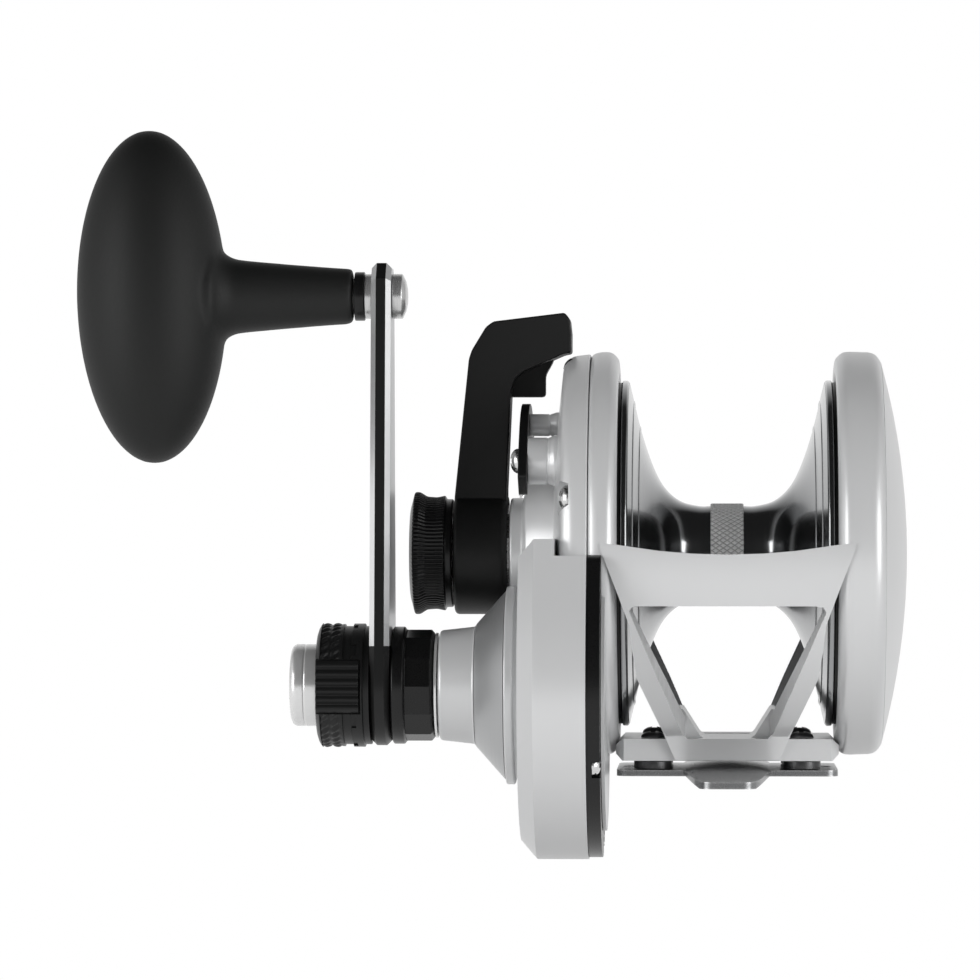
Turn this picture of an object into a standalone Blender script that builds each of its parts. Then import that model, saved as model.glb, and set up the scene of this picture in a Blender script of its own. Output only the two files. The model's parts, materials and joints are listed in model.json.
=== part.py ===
"""Two-speed lever-drag trolling reel, as an assembly of separate pieces.

All sizes below are in millimetres and are scaled to metres where meshes are made.
+X runs along the spool axis away from the handle, -Y is the rod-tip side, +Z is up.
The origin is the middle of the flat underside of the foot.
"""

import math

import bmesh
import bpy
from mathutils import Matrix, Vector

MM = 0.001

# Clearances
RUN = 0.35
SEAT = 0.1

# Axes
RING_R = 40.1
RING_LOW_Z = 4.9
SPOOL_Z = RING_LOW_Z + RING_R
HANDLE_Y = -17.4
MODULE = 1.04
HIGH_TEETH = 50
HIGH_PINION_TEETH = 10
LOW_TEETH = 43
LOW_PINION_TEETH = 17
CENTRES = MODULE * (HIGH_TEETH + HIGH_PINION_TEETH) / 2
HANDLE_Z = SPOOL_Z - math.sqrt(CENTRES**2 - HANDLE_Y**2)
CRANK_LENGTH = 76.4
KNOB_Z = HANDLE_Z + CRANK_LENGTH

# Frame
RING_BORE_R = 35.5
RING_IN_X = 21.3
SEAM_X = -27.0
PALM_SEAM_X = 30.3
WALL_R = RING_R + 0.4
GAP_HALF = RING_IN_X + 0.3
BAR_TOP_Z = SPOOL_Z - 0.2
BAR_END_RISE = 1.8
BAR_LOW_Z = SPOOL_Z - 10.1
BRIDGE_LOW_Z = 4.3
BRIDGE_TOP_Z = 8.6
BRIDGE_HALF_Y = 17.0
WINDOW_TOP_HALF = 19.1
WINDOW_LOW_HALF = 5.6

# Spool
FLANGE_R = 34.4
FLANGE_X = 21.9
ARBOR_R = 9.4
BAND_R = 9.9
BAND_HALF = 3.3
SHAFT_R = 2.5
PINION_R = SHAFT_R + 0.8
PINION_SLEEVE_R = PINION_R + 2.3
BEARING_R = 6.5

# Gear case
LOBE_R = 34.0
CASE_X = -40.2
CASE_CHAMFER = 3.1
CASE_INSET = 3.6
CASE_TOP_Z = SPOOL_Z + 2.8
PLATE_TOP_Z = SPOOL_Z - 0.4
CASE_WALL = 2.2
COLLAR_R = 10.8
COLLAR_END_R = 11.5
CONE_R = 18.7
BAND_RIM_R = 19.3
INNER_PLATE_X = -24.3

# Palm cover
DOME_R = RING_R - 1.7
DOME_X = 35.7
DOME_WALL = 2.0

# Crank
ARM_X = -69.6
ARM_THICK = 3.9
ARM_HUB_R = 11.8
ARM_TIP_R = 6.4
CRANK_SHAFT_R = 5.0
CRANK_BEARING_R = CRANK_SHAFT_R + 3.0
HOUSING_R = 12.2
HOUSING_X = -80.2
BUTTON_R = 8.05
BUTTON_X = -85.7
BUTTON_TRAVEL = 3.5
TAB_HALF = 5.05
TAB_TRAVEL = 0.9
POST_R = 2.4
GRIP_X = -113.2
GRIP_HALF_X = 14.8
GRIP_HALF_Y = 15.5
GRIP_HALF_Z = 32.8
GRIP_TILT = 1.2
STEM_R = 5.4
STEM_X = -73.4

# Drag lever and preset knob
LEVER_HUB_R = 12.2
LEVER_HUB_X = -54.2
LEVER_HALF_Y = 5.5
LEVER_TIP_R = RING_R + 7.7
KNOB_R = 12.2
KNOB_X = -62.8
QUADRANT_IN_R = 22.5
QUADRANT_OUT_R = 29.8
QUADRANT_X = -40.8
QUADRANT_THICK = 1.7
POST_RING_R = 25.6

# Foot
FOOT_HALF_X = 21.7
FOOT_LUG_Y = 17.0
FOOT_LUG_LOW_Z = 0.9
FOOT_LUG_TOP_Z = 2.5
FOOT_HALF_Y = 42.0
FOOT_ROOT_HALF = 8.6
FOOT_TIP_HALF = 5.1
FOOT_ROOT_Z = 3.3
FOOT_TIP_Z = 1.3
BOLT_X = 14.6
BOLT_Y = 12.0
BOLT_R = 1.5

# Clicker
CLICK_TEETH = 16
CLICK_R = 14.0
CLICK_BUTTON_R = 21.0
CLICK_TRAVEL = 3.5

# Facets
BIG = 32
MID = 18
SMALL = 10
TINY = 6

for obj in list(bpy.data.objects):
    bpy.data.objects.remove(obj, do_unlink=True)

parts = bpy.data.collections.new("trolling_reel")
bpy.context.scene.collection.children.link(parts)
tools = bpy.data.collections.new("cutters")
bpy.context.scene.collection.children.link(tools)

FINISHES = {
    "satin": ((0.62, 0.63, 0.64, 1), 0.35, 0.6),
    "bright": ((0.8, 0.8, 0.8, 1), 0.18, 1.0),
    "black": ((0.02, 0.02, 0.02, 1), 0.4, 0.3),
    "rubber": ((0.025, 0.027, 0.026, 1), 0.8, 0.0),
    "gunmetal": ((0.16, 0.165, 0.17, 1), 0.4, 0.8),
    "steel": ((0.45, 0.45, 0.46, 1), 0.3, 1.0),
    "brass": ((0.6, 0.45, 0.2, 1), 0.35, 1.0),
    "carbon": ((0.03, 0.03, 0.035, 1), 0.6, 0.0),
}

# Local x, y and z of a prism or turning, as columns in the reel's frame
TURN = {
    "X": Matrix(((0, 0, 1), (0, -1, 0), (1, 0, 0))),
    "Z": Matrix.Identity(3),
}
LAY = {
    "X": Matrix(((0, 0, 1), (1, 0, 0), (0, 1, 0))),
    "Y": Matrix(((1, 0, 0), (0, 0, -1), (0, 1, 0))),
    "Z": Matrix.Identity(3),
}


def finish_of(name, finish):
    colour, rough, metal = FINISHES[finish]
    made = bpy.data.materials.new(name)
    made.use_nodes = True
    shader = made.node_tree.nodes["Principled BSDF"]
    shader.inputs["Base Color"].default_value = colour
    shader.inputs["Roughness"].default_value = rough
    shader.inputs["Metallic"].default_value = metal
    made.diffuse_color = colour
    return made


def place(name, mesh, matrix, finish):
    """Links the mesh as a node with its finish or, with no finish, as a hidden tool."""
    obj = bpy.data.objects.new(name, mesh)
    obj.matrix_world = matrix
    if finish:
        mesh.materials.append(finish_of(name, finish))
        parts.objects.link(obj)
    else:
        tools.objects.link(obj)
        obj.hide_render = True
        obj.display_type = "WIRE"
    return obj


def pose(turn, at):
    return Matrix.Translation(Vector(at) * MM) @ turn.to_4x4()


def area_of(points):
    ends = points[1:] + points[:1]
    return sum(a[0] * b[1] - b[0] * a[1] for a, b in zip(points, ends)) / 2


def turned(name, profile, at=(0, 0, SPOOL_Z), steps=MID, axis="X", finish=None):
    """A profile of (place along the axis, radius) turned about the axis through `at`."""
    along = "XYZ".index(axis)
    points = [(r, h - at[along]) for h, r in profile]
    if area_of(points) > 0:
        points.reverse()
    closed = min(r for r, _ in points) > 1e-6
    if not closed:
        while points[0][0] > 1e-6 or points[-1][0] > 1e-6:
            points = points[1:] + points[:1]
    mesh = bpy.data.meshes.new(name)
    last = len(points) if closed else len(points) - 1
    edges = [(i, (i + 1) % len(points)) for i in range(last)]
    mesh.from_pydata([Vector((r, 0, h)) * MM for r, h in points], edges, [])
    obj = place(name, mesh, pose(TURN[axis], at), finish)
    screw = obj.modifiers.new("Screw", "SCREW")
    screw.axis = "Z"
    screw.steps = steps
    screw.render_steps = steps
    screw.use_merge_vertices = True
    screw.merge_threshold = 1e-6
    screw.use_normal_calculate = False
    return obj


def prism(name, outlines, low, high, at=(0, 0, 0), axis="X", finish=None):
    """Outlines of (across, up) about `at`, the first solid and the rest holes, from low to high."""
    curve = bpy.data.curves.new(name, "CURVE")
    curve.dimensions = "2D"
    curve.fill_mode = "BOTH"
    curve.extrude = (high - low) / 2 * MM
    for outline in outlines:
        spline = curve.splines.new("POLY")
        spline.points.add(len(outline) - 1)
        for point, (u, v) in zip(spline.points, outline):
            point.co = (u * MM, v * MM, 0, 1)
        spline.use_cyclic_u = True
    guide = bpy.data.objects.new(name + "_guide", curve)
    mesh = bpy.data.meshes.new_from_object(guide)
    bpy.data.objects.remove(guide, do_unlink=True)
    bpy.data.curves.remove(curve)
    shape = bmesh.new()
    shape.from_mesh(mesh)
    bmesh.ops.remove_doubles(shape, verts=shape.verts, dist=1e-7)
    bmesh.ops.recalc_face_normals(shape, faces=shape.faces)
    shape.to_mesh(mesh)
    shape.free()
    mesh.materials.clear()
    mesh.name = name
    middle = list(at)
    middle["XYZ".index(axis)] = (low + high) / 2
    return place(name, mesh, pose(LAY[axis], middle), finish)


def block(name, low, high, finish=None, frame=None):
    """A box between two corners, in the reel's frame or in a given one."""
    size = [b - a for a, b in zip(low, high)]
    middle = Vector([(a + b) / 2 for a, b in zip(low, high)]) * MM
    mesh = bpy.data.meshes.new(name)
    shape = bmesh.new()
    scale = Matrix.Diagonal([s * MM for s in size] + [1])
    bmesh.ops.create_cube(shape, size=1, matrix=scale)
    shape.to_mesh(mesh)
    shape.free()
    return place(name, mesh, (frame or Matrix.Identity(4)) @ Matrix.Translation(middle), finish)


def wrapped(name, points, finish=None):
    """The convex solid round some points."""
    mesh = bpy.data.meshes.new(name)
    shape = bmesh.new()
    for point in points:
        shape.verts.new(Vector(point) * MM)
    bmesh.ops.convex_hull(shape, input=shape.verts)
    bmesh.ops.dissolve_limit(
        shape, angle_limit=math.radians(0.5), verts=shape.verts, edges=shape.edges
    )
    bmesh.ops.recalc_face_normals(shape, faces=shape.faces)
    shape.to_mesh(mesh)
    shape.free()
    return place(name, mesh, Matrix.Identity(4), finish)


def combine(target, tool, operation):
    boolean = target.modifiers.new(tool.name, "BOOLEAN")
    boolean.operation = operation
    boolean.solver = "EXACT"
    boolean.object = tool
    return target


def cut(target, *cutters):
    for tool in cutters:
        combine(target, tool, "DIFFERENCE")
    return target


def join(target, *pieces):
    for tool in pieces:
        combine(target, tool, "UNION")
    return target


def common(target, *pieces):
    for tool in pieces:
        combine(target, tool, "INTERSECT")
    return target


def soften(obj, width, segments=1, angle=40):
    bevel = obj.modifiers.new("Bevel", "BEVEL")
    bevel.width = width * MM
    bevel.segments = segments
    bevel.limit_method = "ANGLE"
    bevel.angle_limit = math.radians(angle)
    return obj


def circle(radius, count, centre=(0, 0), start=0.0):
    turns = [start + 2 * math.pi * i / count for i in range(count)]
    return [(centre[0] + radius * math.cos(t), centre[1] + radius * math.sin(t)) for t in turns]


def clear(radius, count):
    """Corner radius of a hole whose flats stay clear of this radius."""
    return radius / math.cos(math.pi / count)


def hull(points):
    """The convex outline round some points, anticlockwise."""
    points = sorted(set(points))

    def chain(ordered):
        kept = []
        for p in ordered:
            while len(kept) > 1:
                (ax, ay), (bx, by) = kept[-2], kept[-1]
                if (bx - ax) * (p[1] - ay) - (by - ay) * (p[0] - ax) > 1e-9:
                    break
                kept.pop()
            kept.append(p)
        return kept[:-1]

    return chain(points) + chain(points[::-1])


def below(points, top):
    """A convex outline cut off level at `top`."""
    kept = []
    for a, b in zip(points, points[1:] + points[:1]):
        if a[1] <= top:
            kept.append(a)
        if (a[1] - top) * (b[1] - top) < 0:
            share = (top - a[1]) / (b[1] - a[1])
            kept.append((a[0] + share * (b[0] - a[0]), top))
    return kept


def egg(spool_r, handle_r, count=BIG):
    """Outline round the spool axis and the handle axis, in (y, z)."""
    about_spool = circle(spool_r, count, (0, SPOOL_Z))
    return hull(about_spool + circle(handle_r, count, (HANDLE_Y, HANDLE_Z)))


def sector(in_r, out_r, start, end, count):
    """Ring sector about the spool axis; angles in degrees from straight up toward the rod tip."""
    turns = [math.radians(start + (end - start) * i / count) for i in range(count + 1)]
    outer = [(-out_r * math.sin(t), out_r * math.cos(t)) for t in turns]
    inner = [(-in_r * math.sin(t), in_r * math.cos(t)) for t in turns]
    return outer + inner[::-1]


def about_spool(radius, degrees):
    """(y, z) at this radius, degrees from straight up toward the rod tip."""
    t = math.radians(degrees)
    return -radius * math.sin(t), SPOOL_Z + radius * math.cos(t)


def gear(teeth, first, flank_points, addendum=0.9, slack=0.2, pressure=25.0):
    """Spur-gear outline with a tooth centred on the angle `first`, in radians."""
    alpha = math.radians(pressure)
    pitch = MODULE * teeth / 2
    base = pitch * math.cos(alpha)
    root = pitch - 1.2 * MODULE
    tip = pitch + addendum * MODULE
    at_pitch = math.pi / 2 / teeth - slack / 2 / pitch + math.tan(alpha) - alpha

    def half(radius):
        a = math.acos(min(1, base / max(radius, base)))
        return at_pitch - math.tan(a) + a

    radii = [root + (tip - root) * i / (flank_points - 1) for i in range(flank_points)]
    outline = []
    for n in range(teeth):
        middle = first + 2 * math.pi * n / teeth
        flank = [(r, middle - half(r)) for r in radii]
        flank += [(r, middle + half(r)) for r in reversed(radii)]
        outline += [(r * math.cos(t), r * math.sin(t)) for r, t in flank]
    return outline


def screw(name, seat, out, centre, head_r, head_h, shank_r, shank, axis="X", finish="bright"):
    """Domed screw whose head stands from `seat` the way `out` points along the axis."""
    at = list(centre)
    at["XYZ".index(axis)] = seat
    profile = [
        (seat + out * head_h, 0),
        (seat + out * head_h * 0.86, head_r * 0.55),
        (seat + out * head_h * 0.45, head_r * 0.93),
        (seat, head_r),
        (seat, shank_r),
        (seat - out * shank, shank_r),
        (seat - out * shank, 0),
    ]
    return turned(name, profile, at, TINY, axis, finish)


SPOOL = (0, 0, SPOOL_Z)
HANDLE = (0, HANDLE_Y, HANDLE_Z)
KNOB = (0, HANDLE_Y, KNOB_Z)

# Frame: rings and barrel wall turned, then pierced, with the bridge under it
frame = turned(
    "frame",
    [
        (SEAM_X + SEAT, RING_R - 0.4),
        (SEAM_X + 1.9, RING_R),
        (-RING_IN_X - 1.6, RING_R),
        (-RING_IN_X - 0.2, RING_R - 1.0),
        (-RING_IN_X, WALL_R),
        (RING_IN_X, WALL_R),
        (RING_IN_X + 0.2, RING_R - 1.0),
        (RING_IN_X + 1.6, RING_R),
        (PALM_SEAM_X - 2.2, RING_R),
        (PALM_SEAM_X - 0.6, RING_R - 0.6),
        (PALM_SEAM_X - SEAT, DOME_R),
        (PALM_SEAM_X - SEAT, RING_BORE_R),
        (SEAM_X + SEAT, RING_BORE_R),
    ],
    SPOOL,
    BIG,
    finish="satin",
)
bar_top = [
    (-GAP_HALF, BAR_TOP_Z + BAR_END_RISE),
    (-13, BAR_TOP_Z + 0.38 * BAR_END_RISE),
    (0, BAR_TOP_Z),
    (13, BAR_TOP_Z + 0.38 * BAR_END_RISE),
    (GAP_HALF, BAR_TOP_Z + BAR_END_RISE),
    (GAP_HALF, 100),
    (-GAP_HALF, 100),
]
top_gap = prism("top_gap", [bar_top], -60, 60, axis="Y")
WINDOW_LOW_Z = BRIDGE_TOP_Z - 0.3
slope = (WINDOW_TOP_HALF - WINDOW_LOW_HALF) / (BAR_LOW_Z - WINDOW_LOW_Z)
right_side = [
    (WINDOW_LOW_HALF - 1.2, WINDOW_LOW_Z),
    (WINDOW_LOW_HALF + 0.5 * slope, WINDOW_LOW_Z + 1.0),
    (WINDOW_TOP_HALF - 2.0 * slope, BAR_LOW_Z - 2.2),
    (WINDOW_TOP_HALF - 0.3, BAR_LOW_Z - 1.0),
    (WINDOW_TOP_HALF - 0.9, BAR_LOW_Z - 0.2),
    (WINDOW_TOP_HALF - 2.2, BAR_LOW_Z),
]
window = prism(
    "window", [right_side + [(-x, z) for x, z in right_side[::-1]]], -60, 60, axis="Y"
)
side_gap = [
    (GAP_HALF, WINDOW_LOW_Z),
    (GAP_HALF, BAR_LOW_Z - 1.6),
    (RING_IN_X - 1.3, BAR_LOW_Z - 3.8),
    (RING_IN_X - 2.6, WINDOW_LOW_Z + 13.6),
    (WINDOW_LOW_HALF + 6.2, WINDOW_LOW_Z),
]
side_gaps = [
    prism(f"side_gap_{n}", [[(s * x, z) for x, z in side_gap][::s]], -60, 60, axis="Y")
    for n, s in (("palm", 1), ("handle", -1))
]
inner_outline = below(egg(RING_R - 0.5, LOBE_R - 0.4), PLATE_TOP_Z)
plate_room = prism(
    "plate_room",
    [below(egg(RING_R + 3, LOBE_R + 3), PLATE_TOP_Z + SEAT)],
    SEAM_X - 2,
    INNER_PLATE_X + SEAT,
)
cut(frame, top_gap, window, *side_gaps, plate_room)
bridge = block(
    "bridge",
    (-RING_IN_X - 0.8, -BRIDGE_HALF_Y, BRIDGE_LOW_Z),
    (RING_IN_X + 0.8, BRIDGE_HALF_Y, BRIDGE_TOP_Z),
)
soften(bridge, 0.8)
join(frame, bridge)

# Spool: one turning, the same both ways from the middle
half_spool = [
    (BAND_HALF, BAND_R),
    (BAND_HALF, ARBOR_R),
    (4.9, ARBOR_R),
    (9.3, 10.4),
    (12.4, 13.1),
    (14.7, 17.4),
    (17.0, 24.2),
    (18.8, 31.7),
    (19.5, FLANGE_R),
    (FLANGE_X, FLANGE_R),
    (FLANGE_X, FLANGE_R - 5.0),
    (FLANGE_X - 1.5, FLANGE_R - 5.0),
    (FLANGE_X - 1.5, BEARING_R + SEAT),
    (FLANGE_X - 6.5, BEARING_R + SEAT),
    (FLANGE_X - 6.5, SHAFT_R + 0.6),
]
spool = turned(
    "spool", half_spool + [(-x, r) for x, r in half_spool[::-1]], SPOOL, BIG - 8, finish="satin"
)
for name, side in (("palm", 1), ("handle", -1)):
    faces = side * (FLANGE_X - 6.4), side * (FLANGE_X - 2.4)
    ring = [(x, r) for x in faces for r in (BEARING_R, clear(SHAFT_R + SEAT, SMALL))]
    ring = [ring[0], ring[2], ring[3], ring[1]]
    turned(f"spool_bearing_{name}", ring, SPOOL, SMALL, finish="steel")
turned(
    "drag_washer",
    [(x, r) for x, r in zip((-21.6, -20.5, -20.5, -21.6), (28.6, 28.6, 12, 12))],
    SPOOL,
    MID,
    finish="carbon",
)
click_pitch = 2 * math.pi / CLICK_TEETH
click_outline = []
for n in range(CLICK_TEETH):
    click_outline += circle(CLICK_R, 1, start=n * click_pitch)
    click_outline += circle(CLICK_R - 1.2, 1, start=(n + 0.5) * click_pitch)
prism(
    "click_gear",
    [click_outline, circle(9, 20)],
    FLANGE_X - 1.4,
    FLANGE_X + 0.4,
    SPOOL,
    finish="brass",
)
turned(
    "spool_shaft",
    [(-61.4, 0), (-61.4, SHAFT_R - 0.3), (-60.9, SHAFT_R), (30.6, SHAFT_R), (30.6, 0)],
    SPOOL,
    SMALL,
    finish="steel",
)

# Gear train: both pinions are one piece, in mesh with a gear tooth on the line of centres
line = math.atan2(SPOOL_Z - HANDLE_Z, -HANDLE_Y)
GEAR_IN_X = CASE_X + CASE_WALL
HIGH_X = GEAR_IN_X + 0.4, GEAR_IN_X + 3.2
LOW_X = HIGH_X[1] + 0.5, HIGH_X[1] + 3.3
high_bore_r = CRANK_SHAFT_R + SEAT
keyway = math.asin(0.95 / high_bore_r)
high_bore = []
for start in (0, math.pi):
    turns = [start + keyway + (math.pi - 2 * keyway) * i / 10 for i in range(11)]
    high_bore += [(high_bore_r * math.cos(t), high_bore_r * math.sin(t)) for t in turns]
    side = -1 if start == 0 else 1
    high_bore += [(side * (CRANK_SHAFT_R + 1.2), -side * 0.95 * s) for s in (1, -1)]
high_gear = prism(
    "high_gear", [gear(HIGH_TEETH, line, 2), high_bore], *HIGH_X, HANDLE, finish="brass"
)
prism(
    "low_gear",
    [gear(LOW_TEETH, line, 2), circle(CRANK_SHAFT_R + 1.2, 24)],
    *LOW_X,
    HANDLE,
    finish="brass",
)
pinion = turned(
    "pinion",
    [
        (GEAR_IN_X - 3.0, PINION_R),
        (-26.0, PINION_R),
        (-26.0, PINION_SLEEVE_R),
        (-22.0, PINION_SLEEVE_R),
        (-22.0, 0),
        (GEAR_IN_X - 3.0, 0),
    ],
    SPOOL,
    SMALL,
    finish="steel",
)
half_step = math.pi / HIGH_PINION_TEETH
join(
    pinion,
    prism(
        "high_pinion",
        [gear(HIGH_PINION_TEETH, line + math.pi + half_step, 3)],
        HIGH_X[0] - 0.1,
        HIGH_X[1] + 0.1,
        SPOOL,
    ),
    prism(
        "low_pinion",
        [gear(LOW_PINION_TEETH, line + math.pi + math.pi / LOW_PINION_TEETH, 2)],
        LOW_X[0] - 0.1,
        LOW_X[1] + 0.1,
        SPOOL,
    ),
)
pinion_bore = turned(
    "pinion_bore",
    [
        (-50, 0),
        (-50, clear(SHAFT_R + SEAT, SMALL)),
        (-20, clear(SHAFT_R + SEAT, SMALL)),
        (-20, 0),
    ],
    SPOOL,
    SMALL,
)
cut(pinion, pinion_bore)
turned(
    "drive_plate",
    [(-23.9, 28), (-22.0, 28), (-22.0, PINION_SLEEVE_R + SEAT), (-23.9, PINION_SLEEVE_R + SEAT)],
    SPOOL,
    MID,
    finish="steel",
)
turned(
    "pinion_bearing",
    [
        (-40.9, BEARING_R),
        (-38.2, BEARING_R),
        (-38.2, clear(PINION_R + SEAT, SMALL)),
        (-40.9, clear(PINION_R + SEAT, SMALL)),
    ],
    SPOOL,
    SMALL,
    finish="steel",
)

# Handle side plate: round plate, gear case, cone and posts joined, then hollowed
side_plate = turned(
    "handle_side_plate",
    [
        (SEAM_X + 1.0, RING_R - 0.4),
        (SEAM_X, RING_R - 0.4),
        (-30.2, RING_R - 0.8),
        (-31.6, RING_R - 1.5),
        (-32.2, RING_R - 2.3),
        (-32.9, 32.0),
        (-33.4, 27.4),
        (-34.2, 17.0),
        (-34.3, 0),
        (SEAM_X + 1.0, 0),
    ],
    SPOOL,
    BIG,
    finish="satin",
)
case_outline = below(egg(RING_R - 1.3, LOBE_R), CASE_TOP_Z)
case_face = below(egg(RING_R - 1.3 - CASE_INSET, LOBE_R - CASE_INSET), CASE_TOP_Z - CASE_INSET)
case = wrapped(
    "gear_case",
    [(SEAM_X + 1.6, *p) for p in case_outline]
    + [(CASE_X + CASE_CHAMFER, *p) for p in case_outline]
    + [(CASE_X, *p) for p in case_face],
)
cone = turned(
    "case_cone",
    [
        (-56.3, COLLAR_R - 0.4),
        (-55.9, COLLAR_R),
        (-49.5, COLLAR_END_R),
        (-49.2, COLLAR_END_R + 0.3),
        (-43.3, CONE_R),
        (-43.2, BAND_RIM_R),
        (-41.4, BAND_RIM_R),
        (CASE_X + 1.3, BAND_RIM_R - 1.4),
        (CASE_X + 1.3, 0),
        (-56.3, 0),
    ],
    HANDLE,
    MID + 8,
)
boss = turned(
    "spool_boss",
    [
        (-43.1, 10.6),
        (-42.8, 11.0),
        (-40.6, 11.0),
        (-39.9, 14.6),
        (-33.0, 17.6),
        (-33.0, 0),
        (-43.1, 0),
    ],
    SPOOL,
    MID,
)
FRONT_POST = about_spool(POST_RING_R, 45)
REAR_POST = about_spool(POST_RING_R, -64)
SMALL_POST = about_spool(POST_RING_R + 0.4, 12)
POST_END_X = QUADRANT_X + QUADRANT_THICK + SEAT
posts = []
for name, centre, radius, foot in (
    ("front", FRONT_POST, 4.6, 0.5),
    ("rear", REAR_POST, 4.0, 0.5),
    ("small", SMALL_POST, 2.2, 0.35),
):
    posts.append(
        turned(
            f"post_{name}",
            [
                (POST_END_X, 0),
                (POST_END_X, radius - 0.3),
                (POST_END_X + 0.3, radius),
                (-34.6, radius),
                (-34.4, radius + foot),
                (-32.2, radius + foot),
                (-32.2, 0),
            ],
            (0, *centre),
            SMALL,
        )
    )
gear_space = hull(
    circle(12.0, SMALL, (0, SPOOL_Z)) + circle(LOBE_R - 4.6, MID + 8, (HANDLE_Y, HANDLE_Z))
)
gear_room = prism("gear_room", [below(gear_space, CASE_TOP_Z - 1.5)], GEAR_IN_X, SEAM_X + 4)
pinion_space = turned(
    "pinion_space",
    [(GEAR_IN_X + 0.1, 0), (GEAR_IN_X + 0.1, 11.0), (SEAM_X + 5, 11.0), (SEAM_X + 5, 0)],
    SPOOL,
    MID,
)
drag_room = turned(
    "drag_room", [(-30.5, 0), (-30.5, 33.0), (SEAM_X + 3, 33.0), (SEAM_X + 3, 0)], SPOOL, MID
)
seam_trim = block("seam_trim", (SEAM_X, -90, -60), (SEAM_X + 9, 90, 120))
pinion_seat = BEARING_R + SEAT
pinion_room = turned(
    "pinion_room", [(-41.1, 0), (-41.1, pinion_seat), (-36, pinion_seat), (-36, 0)], SPOOL, SMALL
)
shaft_bore = turned(
    "shaft_bore",
    [(-46, 0), (-46, SHAFT_R + 0.3), (-24, SHAFT_R + 0.3), (-24, 0)],
    SPOOL,
    SMALL,
)
crank_seat = CRANK_BEARING_R + SEAT
handle_bore = turned(
    "handle_bore", [(-58, 0), (-58, crank_seat), (-35, crank_seat), (-35, 0)], HANDLE, SMALL
)
SIDE_SCREWS = (73, 8, -36, -77)
SIDE_SCREW_RING_R = RING_R - 3.7
side_holes = []
for n, turn in enumerate(SIDE_SCREWS):
    at = (0, *about_spool(SIDE_SCREW_RING_R, turn))
    side_holes.append(
        turned(
            f"side_hole_{n}",
            [(-34, 0), (-34, 3.4), (-30.6, 3.4), (-30.6, 1.4), (-26, 1.4), (-26, 0)],
            at,
            TINY,
        )
    )
quadrant_holes = [
    turned(f"quadrant_hole_{n}", [(-42, 0), (-42, 1.4), (-36, 1.4), (-36, 0)], (0, *c), TINY)
    for n, c in (("front", FRONT_POST), ("rear", REAR_POST))
]
join(case, cone)
join(side_plate, boss, *posts, case)
cut(side_plate, seam_trim, gear_room, pinion_space, drag_room, pinion_room, shaft_bore, handle_bore)
cut(side_plate, *side_holes, *quadrant_holes)
for n, turn in enumerate(SIDE_SCREWS):
    screw(
        f"side_screw_{n + 1}",
        -30.6 - SEAT,
        -1,
        (0, *about_spool(SIDE_SCREW_RING_R, turn)),
        2.6,
        1.8,
        1.2,
        3.3,
    )

# Inner plate of the gear case, its cover and screws
inner_plate = prism(
    "gear_case_inner_plate", [inner_outline], SEAM_X + SEAT, INNER_PLATE_X, finish="black"
)
pinion_notch = turned(
    "pinion_notch", [(-29, 0), (-29, 9.5), (-22, 9.5), (-22, 0)], SPOOL, MID
)
cut(inner_plate, pinion_notch)
cup_r = BEARING_R + 1.9
bearing_cup = turned(
    "bearing_cup",
    [(-30.4, cup_r), (-26, cup_r), (-26, BEARING_R + SEAT), (-30.4, BEARING_R + SEAT)],
    HANDLE,
    SMALL,
)
join(inner_plate, bearing_cup)
CASE_SCREWS = ((-0.89, -0.456), (0.25, -0.968), (0.8, -0.6))
for n, (u, v) in enumerate(CASE_SCREWS):
    at = (0, HANDLE_Y + u * (LOBE_R - 2.4), HANDLE_Z + v * (LOBE_R - 2.4))
    notch = turned(
        f"case_notch_{n}",
        [(-25.9, 0), (-25.9, 2.6), (-23, 2.6), (-23, 0)],
        at,
        TINY,
    )
    hole = turned(f"case_hole_{n}", [(-28, 0), (-28, 1.2), (-25, 1.2), (-25, 0)], at, TINY)
    cut(inner_plate, notch, hole)
    screw(f"gear_case_screw_{n + 1}", -25.9 + SEAT, 1, at, 2.1, 1.7, 1.0, 0.8)
cover = prism(
    "gear_case_back_cover",
    [egg(12, LOBE_R - 5.6, MID)],
    INNER_PLATE_X + SEAT,
    INNER_PLATE_X + 0.8,
    finish="satin",
)
cover_room = turned(
    "cover_room",
    [(-26, 0), (-26, RING_R + 0.5), (-20, RING_R + 0.5), (-20, 0)],
    SPOOL,
    BIG,
)
cut(cover, cover_room)

# Bearings and one-way clutch of the crank
for name, low, high, outer, inner in (
    ("handle_bearing_outer", -55.8, -51.9, CRANK_BEARING_R, clear(CRANK_SHAFT_R + SEAT, SMALL)),
    ("anti_reverse_clutch", -51.5, -42.6, CRANK_BEARING_R, clear(CRANK_SHAFT_R + SEAT, SMALL)),
    ("handle_bearing_inner", -30.2, -27.0, BEARING_R, clear(3.0 + SEAT, SMALL)),
):
    turned(
        name,
        [(low, outer), (high, outer), (high, inner), (low, inner)],
        HANDLE,
        SMALL,
        finish="steel",
    )

# Palm cover
sphere = (DOME_R**2 + (DOME_X - PALM_SEAM_X - SEAT) ** 2) / 2 / (DOME_X - PALM_SEAM_X - SEAT)


def dome(radius, top):
    return top - sphere + math.sqrt(sphere**2 - radius**2), radius


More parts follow.
